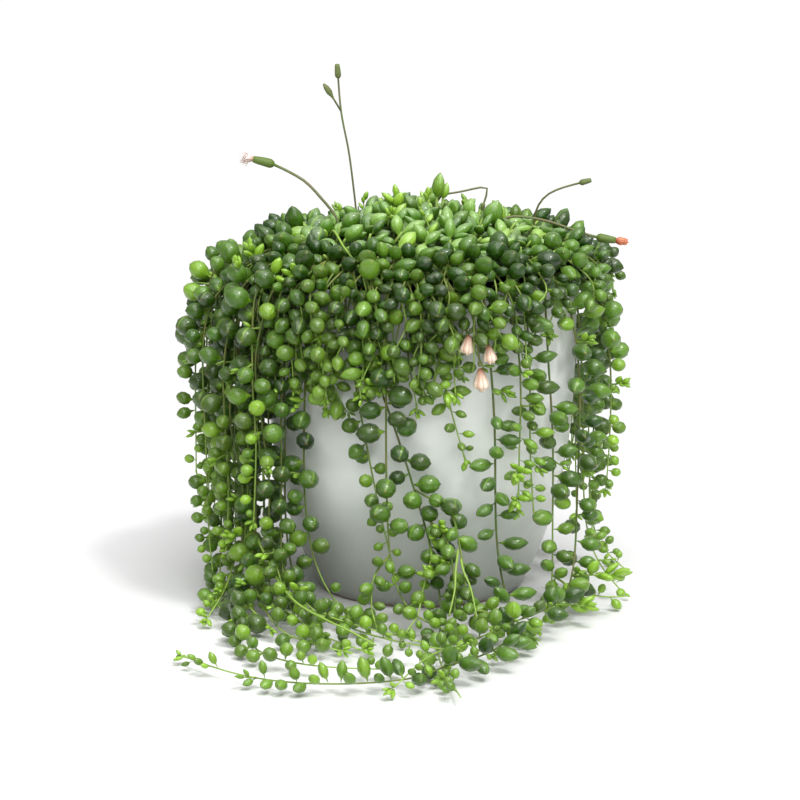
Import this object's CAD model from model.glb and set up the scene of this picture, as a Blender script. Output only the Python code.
"""Looks of a potted string of pearls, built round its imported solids: a white glazed pot, soil, a mound
of plump leaves, strings of pearl-like leaves, flower stalks and flower heads, on a pale table."""

import functools
import math
import random
from collections import namedtuple

import bmesh
import bpy
import numpy as np
from bpy.props import FloatProperty, FloatVectorProperty, IntProperty, PointerProperty
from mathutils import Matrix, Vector, noise as perlin


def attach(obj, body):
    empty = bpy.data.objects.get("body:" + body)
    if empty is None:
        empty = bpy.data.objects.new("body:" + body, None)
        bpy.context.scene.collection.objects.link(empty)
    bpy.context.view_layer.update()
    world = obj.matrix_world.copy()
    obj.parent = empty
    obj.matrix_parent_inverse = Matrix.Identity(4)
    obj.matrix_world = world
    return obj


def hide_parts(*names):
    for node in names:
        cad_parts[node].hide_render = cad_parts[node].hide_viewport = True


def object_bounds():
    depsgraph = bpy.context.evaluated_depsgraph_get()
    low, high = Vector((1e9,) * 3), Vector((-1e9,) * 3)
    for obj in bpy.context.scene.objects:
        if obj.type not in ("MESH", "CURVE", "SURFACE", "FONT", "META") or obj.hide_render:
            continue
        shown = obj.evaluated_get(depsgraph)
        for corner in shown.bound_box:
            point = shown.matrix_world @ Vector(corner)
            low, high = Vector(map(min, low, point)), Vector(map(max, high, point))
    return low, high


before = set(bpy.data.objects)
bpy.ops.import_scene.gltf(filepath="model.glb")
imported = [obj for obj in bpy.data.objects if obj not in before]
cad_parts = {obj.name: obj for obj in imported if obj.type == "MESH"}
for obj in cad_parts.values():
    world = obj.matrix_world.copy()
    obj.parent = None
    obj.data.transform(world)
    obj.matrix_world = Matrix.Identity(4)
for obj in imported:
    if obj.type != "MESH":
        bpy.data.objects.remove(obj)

bl_info = {
    "name": "Potted String of Pearls",
    "version": (1, 0, 0),
    "blender": (4, 5, 0),
    "location": "3D View > Sidebar > String of Pearls",
    "description": "Adds the leaves, stems, flowers, pot and stage of a potted string of pearls",
    "category": "Object",
}

CAD_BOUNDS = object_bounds()
MM = 0.001

# Pot: a tumbler that is upright at the rim and draws in towards a narrow foot
POT_HEIGHT = 126 * MM
RIM_RADIUS = 61 * MM
FOOT_RADIUS = 39.5 * MM
FOOT_ROUNDING = 1.2 * MM
BELLY_POWER = 3.4
WALL = 4.5 * MM
FLOOR = 6 * MM
INNER_SHARES = (0.65, 0.3, 0.12)
POT_SIDES = 32

# Soil
SOIL_SIDES = 16
SOIL_TOP = POT_HEIGHT - 9 * MM
HOLE_DEPTH = 16 * MM
HOLE_RADIUS = 1.7 * MM
HOLE_SIDES = 4
GAP = 0.3 * MM

# Mound of leaves: a small core that stands on the soil and spreads over the rim, with a leaf drawn
# out of each field of its top and its side. The outline runs from the middle of the top to its edge.
CORE_FOOT_RADIUS = 44 * MM
CORE_SIDE_RADIUS = 61 * MM
CORE_UNDERSIDE = 132.2 * MM
CORE_OUTLINE = ((0, 143.5), (20, 143), (34, 141.2), (46, 138.6), (54, 136.8), (60, 135.8))
CORE_SWAY = 1.1 * MM
MOUND_FIELDS = 11
MOUND_LEAF_RADIUS = 5.2 * MM
MOUND_LEAF_LENGTH = 12.4 * MM
MOUND_LEAF_ROOT = 1.7 * MM
SIDE_LEAF_RADIUS = 4.1 * MM
SIDE_LEAF_LENGTH = 12 * MM
SIDE_DROOP = 0.4
LEAN = 0.4
EDGE_LEAN = 1.6
EDGE_POWER = 5

# Strings: the stem, the ring of holes in which they root, and their way over the rim
STEM_RADIUS = 0.6 * MM
STEM_CLEARANCE = 6.4 * MM
WALL_CLEARANCE = 3 * MM
TABLE_CLEARANCE = 2.2 * MM
PUSH = 0.22
PUSH_LIMIT = 1.2 * MM
EASING = 0.25
ROUTE_STEP = 5 * MM
ROOT_RING = 52.4 * MM
CREST_HEIGHT = 129.2 * MM
LIP_RADIUS = RIM_RADIUS - WALL / 2
HELD_RADIUS = LIP_RADIUS + 1 * MM
SWAY = 3.2
SWAY_OUT = 3 * MM
SWAY_STEP = 24 * MM

# Pearls along a string: each sits on a short stalk, and they grow smaller over the last stretch.
# Of every PEARL_STEP pearls one is in the solids, in its own place and at its own size.
PITCH = 5.2 * MM
PETIOLE = 1.3 * MM
ROOT_HALF = 0.7 * MM
ROOT_REACH = 2.6 * MM
PEARL_CLEARANCE = 0.35 * MM
PEARL_STEP = 5
YOUNG_LENGTH = 110 * MM
YOUNG_SHARE = 0.6
YOUNGEST = 0.42
BARE_CHANCE = 0.07
BARE_PITCHES = (1.6, 3.2)
FACET_SWELL = 1.1

# Longest straight stretches of a stem's solid, where it bends over the rim and where it hangs
CREST_LENGTH = 7 * MM
BARE_LENGTH = 16 * MM
SOIL_TO_LIP = 40 * MM
STEM_TAPER = 0.35

# Every random draw starts from this number
SEED = 7

# Flower stalks
STALK_RADIUS = 0.75 * MM
STALK_LENGTH = 9 * MM
FLORETS = 6
STALK_DEPTH = 4.5 * MM
STALK_ROOM = 1.1 * MM

String = namedtuple("String", "name side side_low out low pearl shape start lies")

# Strings seen in the photograph: the side of the pot that each goes over and the side that it
# hangs at lower down, in degrees from the front and positive to the right, how far outside the rim
# it hangs, its lowest hanging height, the radius of its pearls, their length to width, where along
# the string they start, and the points that it lies through on the table, in millimetres.
STRINGS = (
    String("left_string_01", -42, -40, 5, 16, 4.3, 1.05, 0.0,
           ((-31, -66, 5), (-18, -88, 4), (0, -100, 4))),
    String("left_string_02", -51, -50, 5, 14, 4.3, 1.05, 0.0,
           ((-46, -62, 9), (-33, -88, 8), (-14, -112, 7.5), (8, -126, 6))),
    String("left_string_03", -64, -62, 5, 16, 4.5, 1.05, 0.0,
           ((-58, -46, 5), (-53, -70, 5))),
    String("left_string_04", -73, -74, 5, 14, 4.2, 1.05, 0.0,
           ((-65, -38, 5), (-64, -64, 5))),
    String("left_string_05", -86, -86, 5, 12, 4.4, 1.05, 0.0,
           ((-71, -24, 5), (-76, -48, 5))),
    String("left_string_06", -98, -98, 5, 24, 4.3, 1.05, 0.0, ()),
    String("left_string_07", -111, -110, 6, 12, 4.3, 1.05, 0.0, ()),
    String("left_string_08", -46.5, -46, 13, 16, 4.4, 1.05, 0.0,
           ((-54, -66, 5), (-43, -90, 5), (-22, -108, 4))),
    String("left_string_09", -55.5, -58, 13, 18, 4.5, 1.05, 0.0,
           ((-65, -60, 9), (-68, -92, 6), (-60, -120, 4), (-40, -135, 4), (-12, -136, 4))),
    String("left_string_10", -68.5, -70, 14, 16, 4.4, 1.05, 0.0,
           ((-73, -46, 8), (-80, -66, 4))),
    String("left_string_11", -81.5, -82, 14, 13, 4.5, 1.05, 0.0, ()),
    String("left_string_12", -94, -94, 14, 22, 4.3, 1.05, 0.0, ()),
    String("left_string_13", -106.5, -106, 15, 36, 4.2, 1.05, 0.0, ()),
    String("left_string_14", -60, -64, 22, 24, 4.5, 1.08, 0.0, ()),
    String("left_string_15", -77, -72, 25, 11, 4.4, 1.05, 0.0, ()),
    String("left_string_16", -90, -90, 26, 46, 4.5, 1.15, 0.0, ()),
    String("left_string_17", -102, -103, 23, 62, 4.4, 1.05, 0.0, ()),
    String("front_string_01", -37, -34, 5, 84, 4.3, 1.1, 0.0, ()),
    String("front_string_02", -27, -9, 5, 22, 4.0, 1.05, 0.0, ()),
    String("front_string_03", -21, 7, 5, 24, 4.1, 1.1, 0.0,
           ((9, -76, 5), (5, -104, 4), (8, -136, 4), (14, -170, 4))),
    String("front_string_04", -12, -10, 10, 18, 4.7, 1.15, 0.0,
           ((-6, -82, 5), (8, -98, 5), (24, -116, 4))),
    String("front_string_05", -5, -4, 5, 86, 4.2, 1.2, 0.0, ()),
    String("front_string_06", 2, 15, 6, 66, 3.4, 1.45, 0.0, ()),
    String("front_string_07", 9, 12, 8, 92, 4.2, 1.3, 0.0, ()),
    String("front_string_08", -16, -19, 11, 92, 4.4, 1.1, 0.0, ()),
    String("front_string_09", -32, -27, 10, 90, 4.3, 1.1, 0.0, ()),
    String("right_string_01", 21, 26, 5, 16, 3.5, 1.5, 0.0,
           ((32, -62, 9), (37, -92, 9), (28, -124, 8), (8, -145, 5),
            (-14, -153, 4), (-38, -157, 4), (-62, -147, 3.5), (-84, -120, 3.5))),
    String("right_string_02", 29, 32, 10, 46, 3.6, 1.5, 0.0, ()),
    String("right_string_03", 37, 39, 5, 42, 3.6, 1.5, 0.0, ()),
    String("right_string_04", 47, 52, 5, 16, 4.1, 1.25, 0.3,
           ((50, -44, 5), (50, -62, 4), (44, -80, 4))),
    String("right_string_05", 57, 60, 9, 20, 4.1, 1.2, 0.0,
           ((59, -44, 9), (50, -78, 11), (33, -108, 12), (12, -136, 10), (-8, -158, 5))),
    String("right_string_06", 67, 70, 5, 14, 4.1, 1.3, 0.0,
           ((68, -22, 5), (78, -26, 4))),
    String("right_string_07", 79, 82, 12, 42, 4.2, 1.1, 0.0, ()),
    String("right_string_08", 91, 92, 5, 20, 4.2, 1.15, 0.0, ()),
    String("right_string_09", 102, 114, 12, 14, 4.1, 1.1, 0.0,
           ((70, 36, 5), (78, 22, 4), (82, 6, 4))),
)
BACK_STRINGS = 10
BACK_FROM = 109
BACK_TO = 243


Stalk = namedtuple("Stalk", "name points swelling branches")

# Flower stalks: the points that each passes, in millimetres, from its foot in the mound or in the
# soil. The swelling is the length and radius of the green cup or bud at its end.
STALKS = (
    Stalk("left_bloom_stalk",
          ((-32, -4, 135), (-32, -4, 140), (-32, -4, 145.5), (-34.5, -3, 149.6), (-38.2, -3, 154),
           (-42.6, -2, 158.8), (-47, 0, 162.1), (-56.7, 0, 167.1), (-65.5, 0, 169.5)), (9, 1.9), ()),
    Stalk("tall_bud_stalk",
          ((-26, 41, 135), (-26, 41, 142), (-27, 41, 152), (-29, 40, 168), (-32, 40, 184),
           (-33.5, 40, 203)), (6, 1.6), (((-32, 40, 184), (-35, 40, 189), (-39, 40, 195)),)),
    Stalk("bent_stalk",
          ((5, 14, 136), (5, 14, 141), (5, 14, 146), (6, 14, 151), (8.5, 14, 153.6), (15.3, 14, 154.9),
           (26, 14, 156.8), (25.2, 14, 152), (24, 14, 147.5)), (3, 1.0), ()),
    Stalk("right_bloom_stalk",
          ((31, 4, 135), (31, 4, 139), (31, 4, 143.5), (34, 4, 146.3), (38.8, 4.5, 146.4),
           (44.7, 5, 145.6), (52.5, 5.5, 143.6), (60.4, 6, 140.7), (68.3, 6, 138.3), (76.6, 6, 136.8)),
          (8, 1.9), ()),
    Stalk("right_bud_stalk",
          ((44.5, 11, 135), (44.5, 11, 139), (44.6, 11, 143.5), (45.1, 10, 147.5), (46.6, 9, 151.2),
           (49.7, 8, 154.7), (54.4, 8, 157), (60.2, 8, 158.7), (66.8, 8, 160.4)), (5, 1.4), ()),
    Stalk("dried_stalk",
          ((14.4, -52, 101.3), (14.4, -52, 113), (14.4, -52, 120), (15.2, -54.7, 128),
           (16.3, -58.6, 129.2), (18, -64.5, 126.5), (20, -69, 117), (21, -71, 109), (22, -72, 101)),
          (2, 1.1), (((20, -69, 117), (18, -72, 113.5)), ((21, -70.5, 111.5), (24.5, -73, 109.5)))),
)

# Flower heads: the point that each is set on, the way that it faces, its length and its radius
Head = namedtuple("Head", "name base facing length radius material")
HEADS = (
    Head("left_bloom", (-65.9, 0, 169.6), (-1, 0, 0.1), 5.5, 2.6, "pink_florets"),
    Head("right_bloom", (77.1, 6, 136.7), (0.98, 0, -0.12), 4.8, 2.7, "orange_florets"),
    Head("dried_head_01", (17.7, -72.4, 113.0), (-0.15, -0.1, -1), 8.5, 2.7, "dried_florets"),
    Head("dried_head_02", (24.9, -73.3, 109.2), (0.15, -0.05, -1), 7.5, 2.6, "dried_florets"),
    Head("dried_head_03", (22.1, -72.1, 100.4), (0.05, 0, -1), 9.5, 3.0, "dried_florets"),
)
def stalk_route(stalk):
    return Route(smooth_curve([np.array(p) * MM for p in stalk.points], 2 * MM))


def wall_radius(height):
    """Outer radius of the pot at a height above the table."""
    share = min(max(height / POT_HEIGHT, 0.0), 1.0)
    return FOOT_RADIUS + (RIM_RADIUS - FOOT_RADIUS) * (1 - (1 - share) ** BELLY_POWER)


def around(side, radius, height):
    """Point at an angle round the pot, in degrees from the front, at a radius and a height."""
    angle = math.radians(side)
    return np.array([radius * math.sin(angle), -radius * math.cos(angle), height])


def unit(vector):
    return vector / max(np.linalg.norm(vector), 1e-12)


def smooth_curve(points, step):
    """Points about a step apart on the smooth curve that passes through the given ones."""
    points = [np.asarray(p, float) for p in points]
    ends = [2 * points[0] - points[1]] + points + [2 * points[-1] - points[-2]]
    made = [points[0]]
    for a, b, c, d in zip(ends, ends[1:], ends[2:], ends[3:]):
        count = max(1, int(round(np.linalg.norm(c - b) / step)))
        for k in range(1, count + 1):
            t = k / count
            made.append(0.5 * (2 * b + (c - a) * t + (2 * a - 5 * b + 4 * c - d) * t ** 2
                               + (3 * b - a - 3 * c + d) * t ** 3))
    return np.array(made)


def back_strings():
    """Strings on the side that the photograph doesn't show, hung by the same rule."""
    draw = random.Random(SEED)
    made = []
    for k in range(BACK_STRINGS):
        side = BACK_FROM + (BACK_TO - BACK_FROM) * (k + 0.5) / BACK_STRINGS
        out = 5 + 6 * (k % 2) + draw.uniform(0, 2)
        low = draw.uniform(16, 70)
        size = draw.uniform(4.1, 4.5)
        made.append(String(f"back_string_{k + 1:02d}", side, side + draw.uniform(-4, 4), out,
                           low, size, 1.1, 0.0, ()))
    return tuple(made)


def first_route(string):
    """A string's way from its hole in the soil, over the rim, down, and along the table."""
    hang = RIM_RADIUS + string.out * MM
    low = string.low * MM
    shoulder = POT_HEIGHT - 3 * MM
    turn = string.side_low - string.side
    points = [around(string.side, ROOT_RING, SOIL_TOP - HOLE_DEPTH + GAP),
              around(string.side, ROOT_RING, SOIL_TOP - 4 * MM),
              around(string.side, ROOT_RING, SOIL_TOP + 3 * MM),
              around(string.side, LIP_RADIUS - 2 * MM, CREST_HEIGHT - 1 * MM),
              around(string.side, LIP_RADIUS + 2 * MM, CREST_HEIGHT)]
    if string.out > 8:
        points.append(around(string.side, hang - 6 * MM, CREST_HEIGHT - 1 * MM))
    points.append(around(string.side, hang, shoulder))
    draw = random.Random(string.name)
    steps = max(2, round((shoulder - low) / SWAY_STEP))
    for k in range(1, steps + 1):
        share = k / steps
        sway = draw.uniform(-1, 1) * SWAY
        out = draw.uniform(0, 1) * SWAY_OUT
        if k == steps and string.lies:
            sway, out = 0.0, 0.0
        points.append(around(string.side + turn * share + sway, hang + out,
                             shoulder + (low - shoulder) * share))
    points += [np.array(p) * MM for p in string.lies]
    return smooth_curve(points, ROUTE_STEP)


def keep_off_pot(points):
    """Moves points of stems out to a stem's clearance from the pot's wall and lip."""
    radii = np.hypot(points[:, 0], points[:, 1])
    for k, radius in enumerate(radii):
        height = points[k, 2]
        if height < POT_HEIGHT and radius > LIP_RADIUS:
            least = wall_radius(height) + WALL_CLEARANCE
            if radius < least:
                points[k, :2] *= least / radius
        lip = np.array([radius - LIP_RADIUS, height - (POT_HEIGHT - WALL / 2)])
        reach = np.linalg.norm(lip)
        least = WALL / 2 + WALL_CLEARANCE
        if reach < least and height > POT_HEIGHT - WALL:
            lip *= least / max(reach, 1e-9)
            points[k, :2] *= (LIP_RADIUS + lip[0]) / radius
            points[k, 2] = POT_HEIGHT - WALL / 2 + lip[1]
    points[:, 2] = np.maximum(points[:, 2], TABLE_CLEARANCE)


def settle(strings, stalks, rounds=60):
    """Eases the strings apart, so that each has room for its pearls and none crosses another."""
    routes = strings + stalks
    owner = np.concatenate([np.full(len(r), k) for k, r in enumerate(routes)])
    points = np.concatenate(routes)
    reach = np.hypot(points[:, 0], points[:, 1])
    held = (reach < HELD_RADIUS) & (points[:, 2] > SOIL_TOP - HOLE_DEPTH)
    held |= owner >= len(strings)
    starts = np.flatnonzero(np.diff(np.concatenate([[-1], owner, [-1]])))
    inner = np.ones(len(points), bool)
    inner[starts[:-1]] = False
    inner[starts[1:] - 1] = False
    others = owner[:, None] != owner[None, :]
    for _ in range(rounds):
        apart = points[:, None, :] - points[None, :, :]
        distance = np.sqrt((apart ** 2).sum(2)) + 1e-9
        push = np.where(others & (distance < STEM_CLEARANCE), STEM_CLEARANCE - distance, 0.0)
        move = (apart / distance[:, :, None] * push[:, :, None]).sum(1) * PUSH
        far = np.linalg.norm(move, axis=1)
        move *= np.minimum(1.0, PUSH_LIMIT / np.maximum(far, 1e-9))[:, None]
        move[held] = 0
        points = points + move
        middle = points.copy()
        middle[1:-1] = (points[:-2] + points[2:]) / 2
        easing = np.where(inner & ~held, EASING, 0.0)[:, None]
        points = points * (1 - easing) + middle * easing
        moved = ~held
        free = points[moved]
        keep_off_pot(free)
        points[moved] = free
    return [points[owner == k] for k in range(len(strings))]


class Route:
    """A stem's centre line, read by the distance along it."""

    def __init__(self, points):
        self.points = points
        steps = np.linalg.norm(np.diff(points, axis=0), axis=1)
        self.along = np.concatenate([[0.0], np.cumsum(steps)])
        self.length = self.along[-1]

    def at(self, distance):
        return np.array([np.interp(distance, self.along, self.points[:, k]) for k in range(3)])

    def tangent(self, distance):
        return unit(self.at(distance + 1.5 * MM) - self.at(distance - 1.5 * MM))


class Room:
    """What is already in place, as balls that a new pearl has to stay clear of."""

    def __init__(self):
        self.centres = np.zeros((0, 3))
        self.radii = np.zeros(0)

    def add(self, centres, radii):
        self.centres = np.concatenate([self.centres, np.atleast_2d(centres)])
        self.radii = np.concatenate([self.radii, np.atleast_1d(radii)])

    def clear(self, centres, radii, spared=None):
        for centre, radius in zip(centres, radii):
            distance = np.linalg.norm(self.centres - centre, axis=1)
            touching = distance < self.radii + radius + PEARL_CLEARANCE
            if spared is not None:
                touching &= ~spared
            if touching.any():
                return False
        return True


def clears_pot(centre, radius):
    """Whether a ball is outside the pot and above the table."""
    reach = math.hypot(centre[0], centre[1])
    height = centre[2]
    if height < radius + PEARL_CLEARANCE:
        return False
    lip = math.hypot(reach - LIP_RADIUS, height - (POT_HEIGHT - WALL / 2))
    if lip < WALL / 2 + radius + PEARL_CLEARANCE:
        return False
    if height < POT_HEIGHT and reach < wall_radius(height) + radius + PEARL_CLEARANCE:
        return False
    return True


Pearl = namedtuple("Pearl", "along root direction radius length")


def pearl_balls(pearl):
    """The balls that stand for a pearl: its belly, the part before its tip, and its tip."""
    belly = pearl.root + pearl.direction * (STEM_RADIUS + PETIOLE + pearl.length * 0.47)
    front = pearl.root + pearl.direction * (STEM_RADIUS + PETIOLE + pearl.length * 0.74)
    tip = pearl.root + pearl.direction * (STEM_RADIUS + PETIOLE + pearl.length)
    return np.array([belly, front, tip]), np.array([pearl.radius, pearl.radius * 0.7, 0.4 * MM])


def pearl_plan(string, index, route):
    """Where along a string its pearls sit, how large each is, and the turn that it prefers."""
    draw = random.Random(SEED * 1000 + index)
    reach = np.hypot(route.points[:, 0], route.points[:, 1])
    begin = route.along[np.argmax(reach > RIM_RADIUS + 1 * MM)]
    begin += (route.length - begin) * string.start
    young = min(YOUNG_LENGTH, (route.length - begin) * YOUNG_SHARE)
    along = begin
    plan = []
    turn = draw.uniform(0, 360)
    while along < route.length - 1.5 * MM:
        left = route.length - along
        taper = min(1.0, YOUNGEST + (1 - YOUNGEST) * left / young)
        radius = string.pearl * MM * taper * draw.uniform(0.7, 1.04)
        turn += 180 + draw.uniform(-60, 60)
        plan.append((along, radius, turn, draw.uniform(-0.2, 0.5)))
        along += PITCH * (0.4 + 0.6 * taper) * draw.uniform(0.75, 1.2)
        if draw.random() < BARE_CHANCE:
            along += PITCH * draw.uniform(*BARE_PITCHES)
    return plan


def lay_pearls(string, route, room, plan, picked):
    """Places the picked pearls of a string, each turned to where it has room."""
    made = []
    for k in picked:
        along, radius, turn, lean = plan[k]
        root = route.at(along)
        ahead = route.tangent(along)
        outward = unit(np.array([root[0], root[1], 12 * MM]) - ahead * 1e-6)
        side = unit(np.cross(ahead, outward))
        face = np.cross(side, ahead)
        for attempt in range(12):
            angle = math.radians(turn + attempt * 67)
            spread = side * math.cos(angle) + face * abs(math.sin(angle)) * 0.9
            if attempt >= 8:
                spread = side * math.cos(angle) + face * math.sin(angle)
            direction = unit(unit(spread) + ahead * lean)
            pearl = Pearl(along, root, direction, radius, radius * 2 * string.shape)
            centres, radii = pearl_balls(pearl)
            if not all(clears_pot(c, r) for c, r in zip(centres, radii)):
                continue
            near = np.linalg.norm(room.centres - root, axis=1) < ROOT_REACH
            if room.clear(centres, radii, near):
                room.add(centres, radii)
                made.append(pearl)
                break
    return made


def core_height(reach):
    outline = np.array(CORE_OUTLINE, float) * MM
    return np.interp(reach, outline[:, 0], outline[:, 1])


def core_mesh():
    """The core and its fields: a square grid drawn round and domed, a side, and a closed foot."""
    draw = random.Random(SEED + 1)
    edge = CORE_OUTLINE[-1][0] * MM
    made = bmesh.new()
    bmesh.ops.create_grid(made, x_segments=MOUND_FIELDS, y_segments=MOUND_FIELDS, size=1)
    for vert in made.verts:
        x, y = vert.co.x, vert.co.y
        rim = max(abs(x), abs(y)) > 0.999
        across = np.array([x * math.sqrt(1 - y * y / 2), y * math.sqrt(1 - x * x / 2)]) * edge
        sway = np.array([draw.uniform(-1, 1), draw.uniform(-1, 1)]) * CORE_SWAY
        if not rim:
            across += sway
        reach = math.hypot(*across)
        vert.co = (*across, core_height(reach))
    fields = made.faces[:]
    below = ((CORE_SIDE_RADIUS, CORE_UNDERSIDE), (CORE_FOOT_RADIUS + 4 * MM, CORE_UNDERSIDE),
             (CORE_FOOT_RADIUS, CORE_UNDERSIDE - 2 * MM), (CORE_FOOT_RADIUS, SOIL_TOP + GAP))
    ring = [item for item in made.edges if item.is_boundary]
    for k, (radius, height) in enumerate(below):
        geom = bmesh.ops.extrude_edge_only(made, edges=ring)["geom"]
        if k == 0:
            fields += [item for item in geom if isinstance(item, bmesh.types.BMFace)]
        for vert in (item for item in geom if isinstance(item, bmesh.types.BMVert)):
            vert.co *= radius / math.hypot(vert.co.x, vert.co.y)
            vert.co.z = height
        ring = [item for item in geom if isinstance(item, bmesh.types.BMEdge) and item.is_boundary]
    bmesh.ops.contextual_create(made, geom=ring)
    bmesh.ops.recalc_face_normals(made, faces=made.faces[:])
    return made, fields


def leaf_balls(place, direction, radius, length):
    shares = np.array([0.3, 0.5, 0.76, 1.0])
    return place + direction * (length * shares)[:, None], radius * np.array([0.8, 1.02, 0.6, 0.15])


# Leaves as they are drawn here: rings from the stem to the tip, as shares of length and radius. A
# point on the stem closes the short stalk.
LEAF_SIDES = 10
LOT_VERTS = 3000
YOUNG_SIDES = 6
LEAF_RINGS = {
    "round": ((0.005, 0.24), (0.14, 0.76), (0.4, 1.0), (0.66, 0.92), (0.87, 0.52), (0.955, 0.14)),
    "almond": ((0.01, 0.18), (0.17, 0.72), (0.42, 1.0), (0.68, 0.86), (0.88, 0.42), (0.96, 0.13)),
    "young": ((0.02, 0.4), (0.22, 0.85), (0.5, 1.0), (0.8, 0.62)),
    "petal": ((0.1, 0.5), (0.45, 1.0), (0.85, 0.7)),
}

# Stems as they are drawn here
STEM_SIDES = 7
STEM_STEP = 2.8 * MM
STEM_WIDTH = 0.5 * MM
STEM_TIP_WIDTH = 0.28 * MM

# Pot, table and flower stalks as they are drawn here
POT_TURNS = 128
WALL_STEPS = 44
LIP_STEPS = 10
TABLE_BACK = 320 * MM

# Lights: where each comes from, and how wide it looks, in degrees
OVERHEAD_FROM, OVERHEAD_ANGLE = (0.1, -0.35, 1.0), 65
FRONT_FROM, FRONT_ANGLE = (0.05, -1.0, 0.55), 40
KEY_FROM, KEY_ANGLE = (0.4, -0.45, 1.0), 9
BLOOM_STALK_WIDTH = 0.55 * MM
BUD_STALK_WIDTH = 0.4 * MM
STALK_STEP = 3 * MM
CUP_STAGES = ((0, 0.3), (0.08, 0.75), (0.2, 1.0), (0.5, 0.95), (0.8, 0.82), (0.97, 0.7), (1.0, 0.4))

# The dome that the tips of the mound's leaves keep under, from its middle outwards, in millimetres,
# and how much it rises towards the left
MOUND_TOP = ((0, 155), (20, 154), (35, 150), (45, 143.5), (50, 140.5), (56, 138), (65, 134), (76, 130))
LEFT_RISE = 6 * MM
LEFT_RISE_FROM = 30 * MM

# Strands between those of the solids, given as those are: some that heap up at the foot of the left
# ones, and how many more hang from one side to another
EXTRA_STRINGS = (
    String("extra_a", -66, -66, 12, 30, 4.2, 1.05, 0.0, ((-62, -52, 14), (-52, -74, 10), (-40, -90, 6))),
    String("extra_b", -76, -76, 10, 28, 4.2, 1.05, 0.0, ((-70, -42, 12), (-66, -64, 9), (-56, -84, 5))),
    String("extra_c", -52, -52, 9, 26, 4.2, 1.05, 0.0, ((-48, -66, 16), (-38, -84, 10), (-24, -98, 6))),
    String("extra_d", -84, -84, 18, 30, 4.2, 1.05, 0.0, ((-78, -30, 10), (-78, -50, 6), (-72, -72, 4))),
    String("extra_e", -46, -46, 18, 34, 4.2, 1.05, 0.0, ((-50, -72, 14), (-36, -92, 12), (-16, -104, 9))),
    String("extra_f", -60, -60, 18, 24, 4.2, 1.05, 0.0, ((-60, -66, 10), (-50, -92, 5), (-30, -112, 4))),
)
EXTRA_HUNG = ((-48, -112, 12), (112, 244, 9))

# Leaves that stand out of the mound: root, tip, radius and how young, in millimetres. Then loose young
# stems: the points that each passes, its radius and how young it is. Then the ways of dry curled bits.
SINGLE_LEAVES = (
    ((6.2, 10, 153), (7.4, 10, 163), 2.7, 0.35),
    ((8.6, 11, 152.4), (10.2, 11.5, 158.8), 1.9, 0.6),
    ((26, -10, 144.8), (29.8, -11.5, 154.8), 3.9, 0.1),
)
LOOSE_STEMS = (
    (((-35, -14, 141), (-33, -27, 145), (-29, -44, 141.6), (-25.5, -53, 138.6), (-22, -61, 134.5),
      (-20, -65, 128)), 0.55, 1.0),
)
DRY_CURLS = (
    ((11, -61, 124), (11.5, -64, 127.5), (14.5, -65.5, 128.8), (17, -66, 126.8), (20.5, -66.5, 128.4),
     (23.5, -67, 126)),
    ((14, -64, 129), (15.5, -66.5, 126.5), (14, -68, 124), (15.5, -69, 121.5)),
    ((-63, -44, 118), (-61, -46.5, 122), (-62, -49, 118), (-60.5, -50.5, 113)),
    ((-59, -47, 120), (-61.5, -49.5, 116.5), (-59.5, -51, 112.5)),
)
VIEW_STEP = 3.5 * MM
VIEW_DEPTH = 38 * MM
VIEW_RADIUS = 0.9 * MM
CUP_VIEW_RADIUS = 2.2 * MM
TOWARDS_EYE = (0.0, -0.98, 0.2)

# Leafy branches off the hanging stems: the points of each, from the stem that is nearest to the first
# of them, and the radius of its leaves, in millimetres, and how young it is
BRANCHES = (
    (((8, -70, 54), (11, -74, 46), (15, -77, 32), (17, -81, 19), (20, -87, 11), (26, -95, 7)), 3.8, 0.1),
    (((7, -70, 46), (9, -77, 38), (12, -81, 27), (13, -85, 17), (12, -93, 10), (9, -103, 7)), 3.6, 0.2),
    (((8, -72, 36), (4, -79, 30), (1, -83, 19), (-1, -89, 11), (-5, -97, 7)), 3.4, 0.5),
    (((-13, -76, 30), (-17, -82, 24), (-18, -88, 14), (-16, -96, 8)), 3.4, 0.3),
    (((16, -84, 16), (24, -88, 12), (34, -92, 8), (40, -99, 6)), 3.2, 0.4),
    (((50, -44, 12), (60, -46, 9), (70, -44, 6), (79, -40, 5)), 2.6, 0.75),
)

# Bare young stems over the heaps on the table: the points of each, its radius and how young it is
BARE_STEMS = (
    (((-62, -50, 30), (-54, -64, 18), (-45.6, -88, 15.2), (-34, -104, 13), (-26, -112, 11.5),
      (-16, -119, 8)), 0.55, 0.85),
    (((14, -82, 34), (13, -87, 27), (12.6, -92, 21), (10.5, -98, 13)), 0.5, 0.7),
    (((15, -84, 31), (16, -87, 27), (18.6, -91, 21.5), (20.8, -97, 12)), 0.45, 0.8),
)

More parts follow.
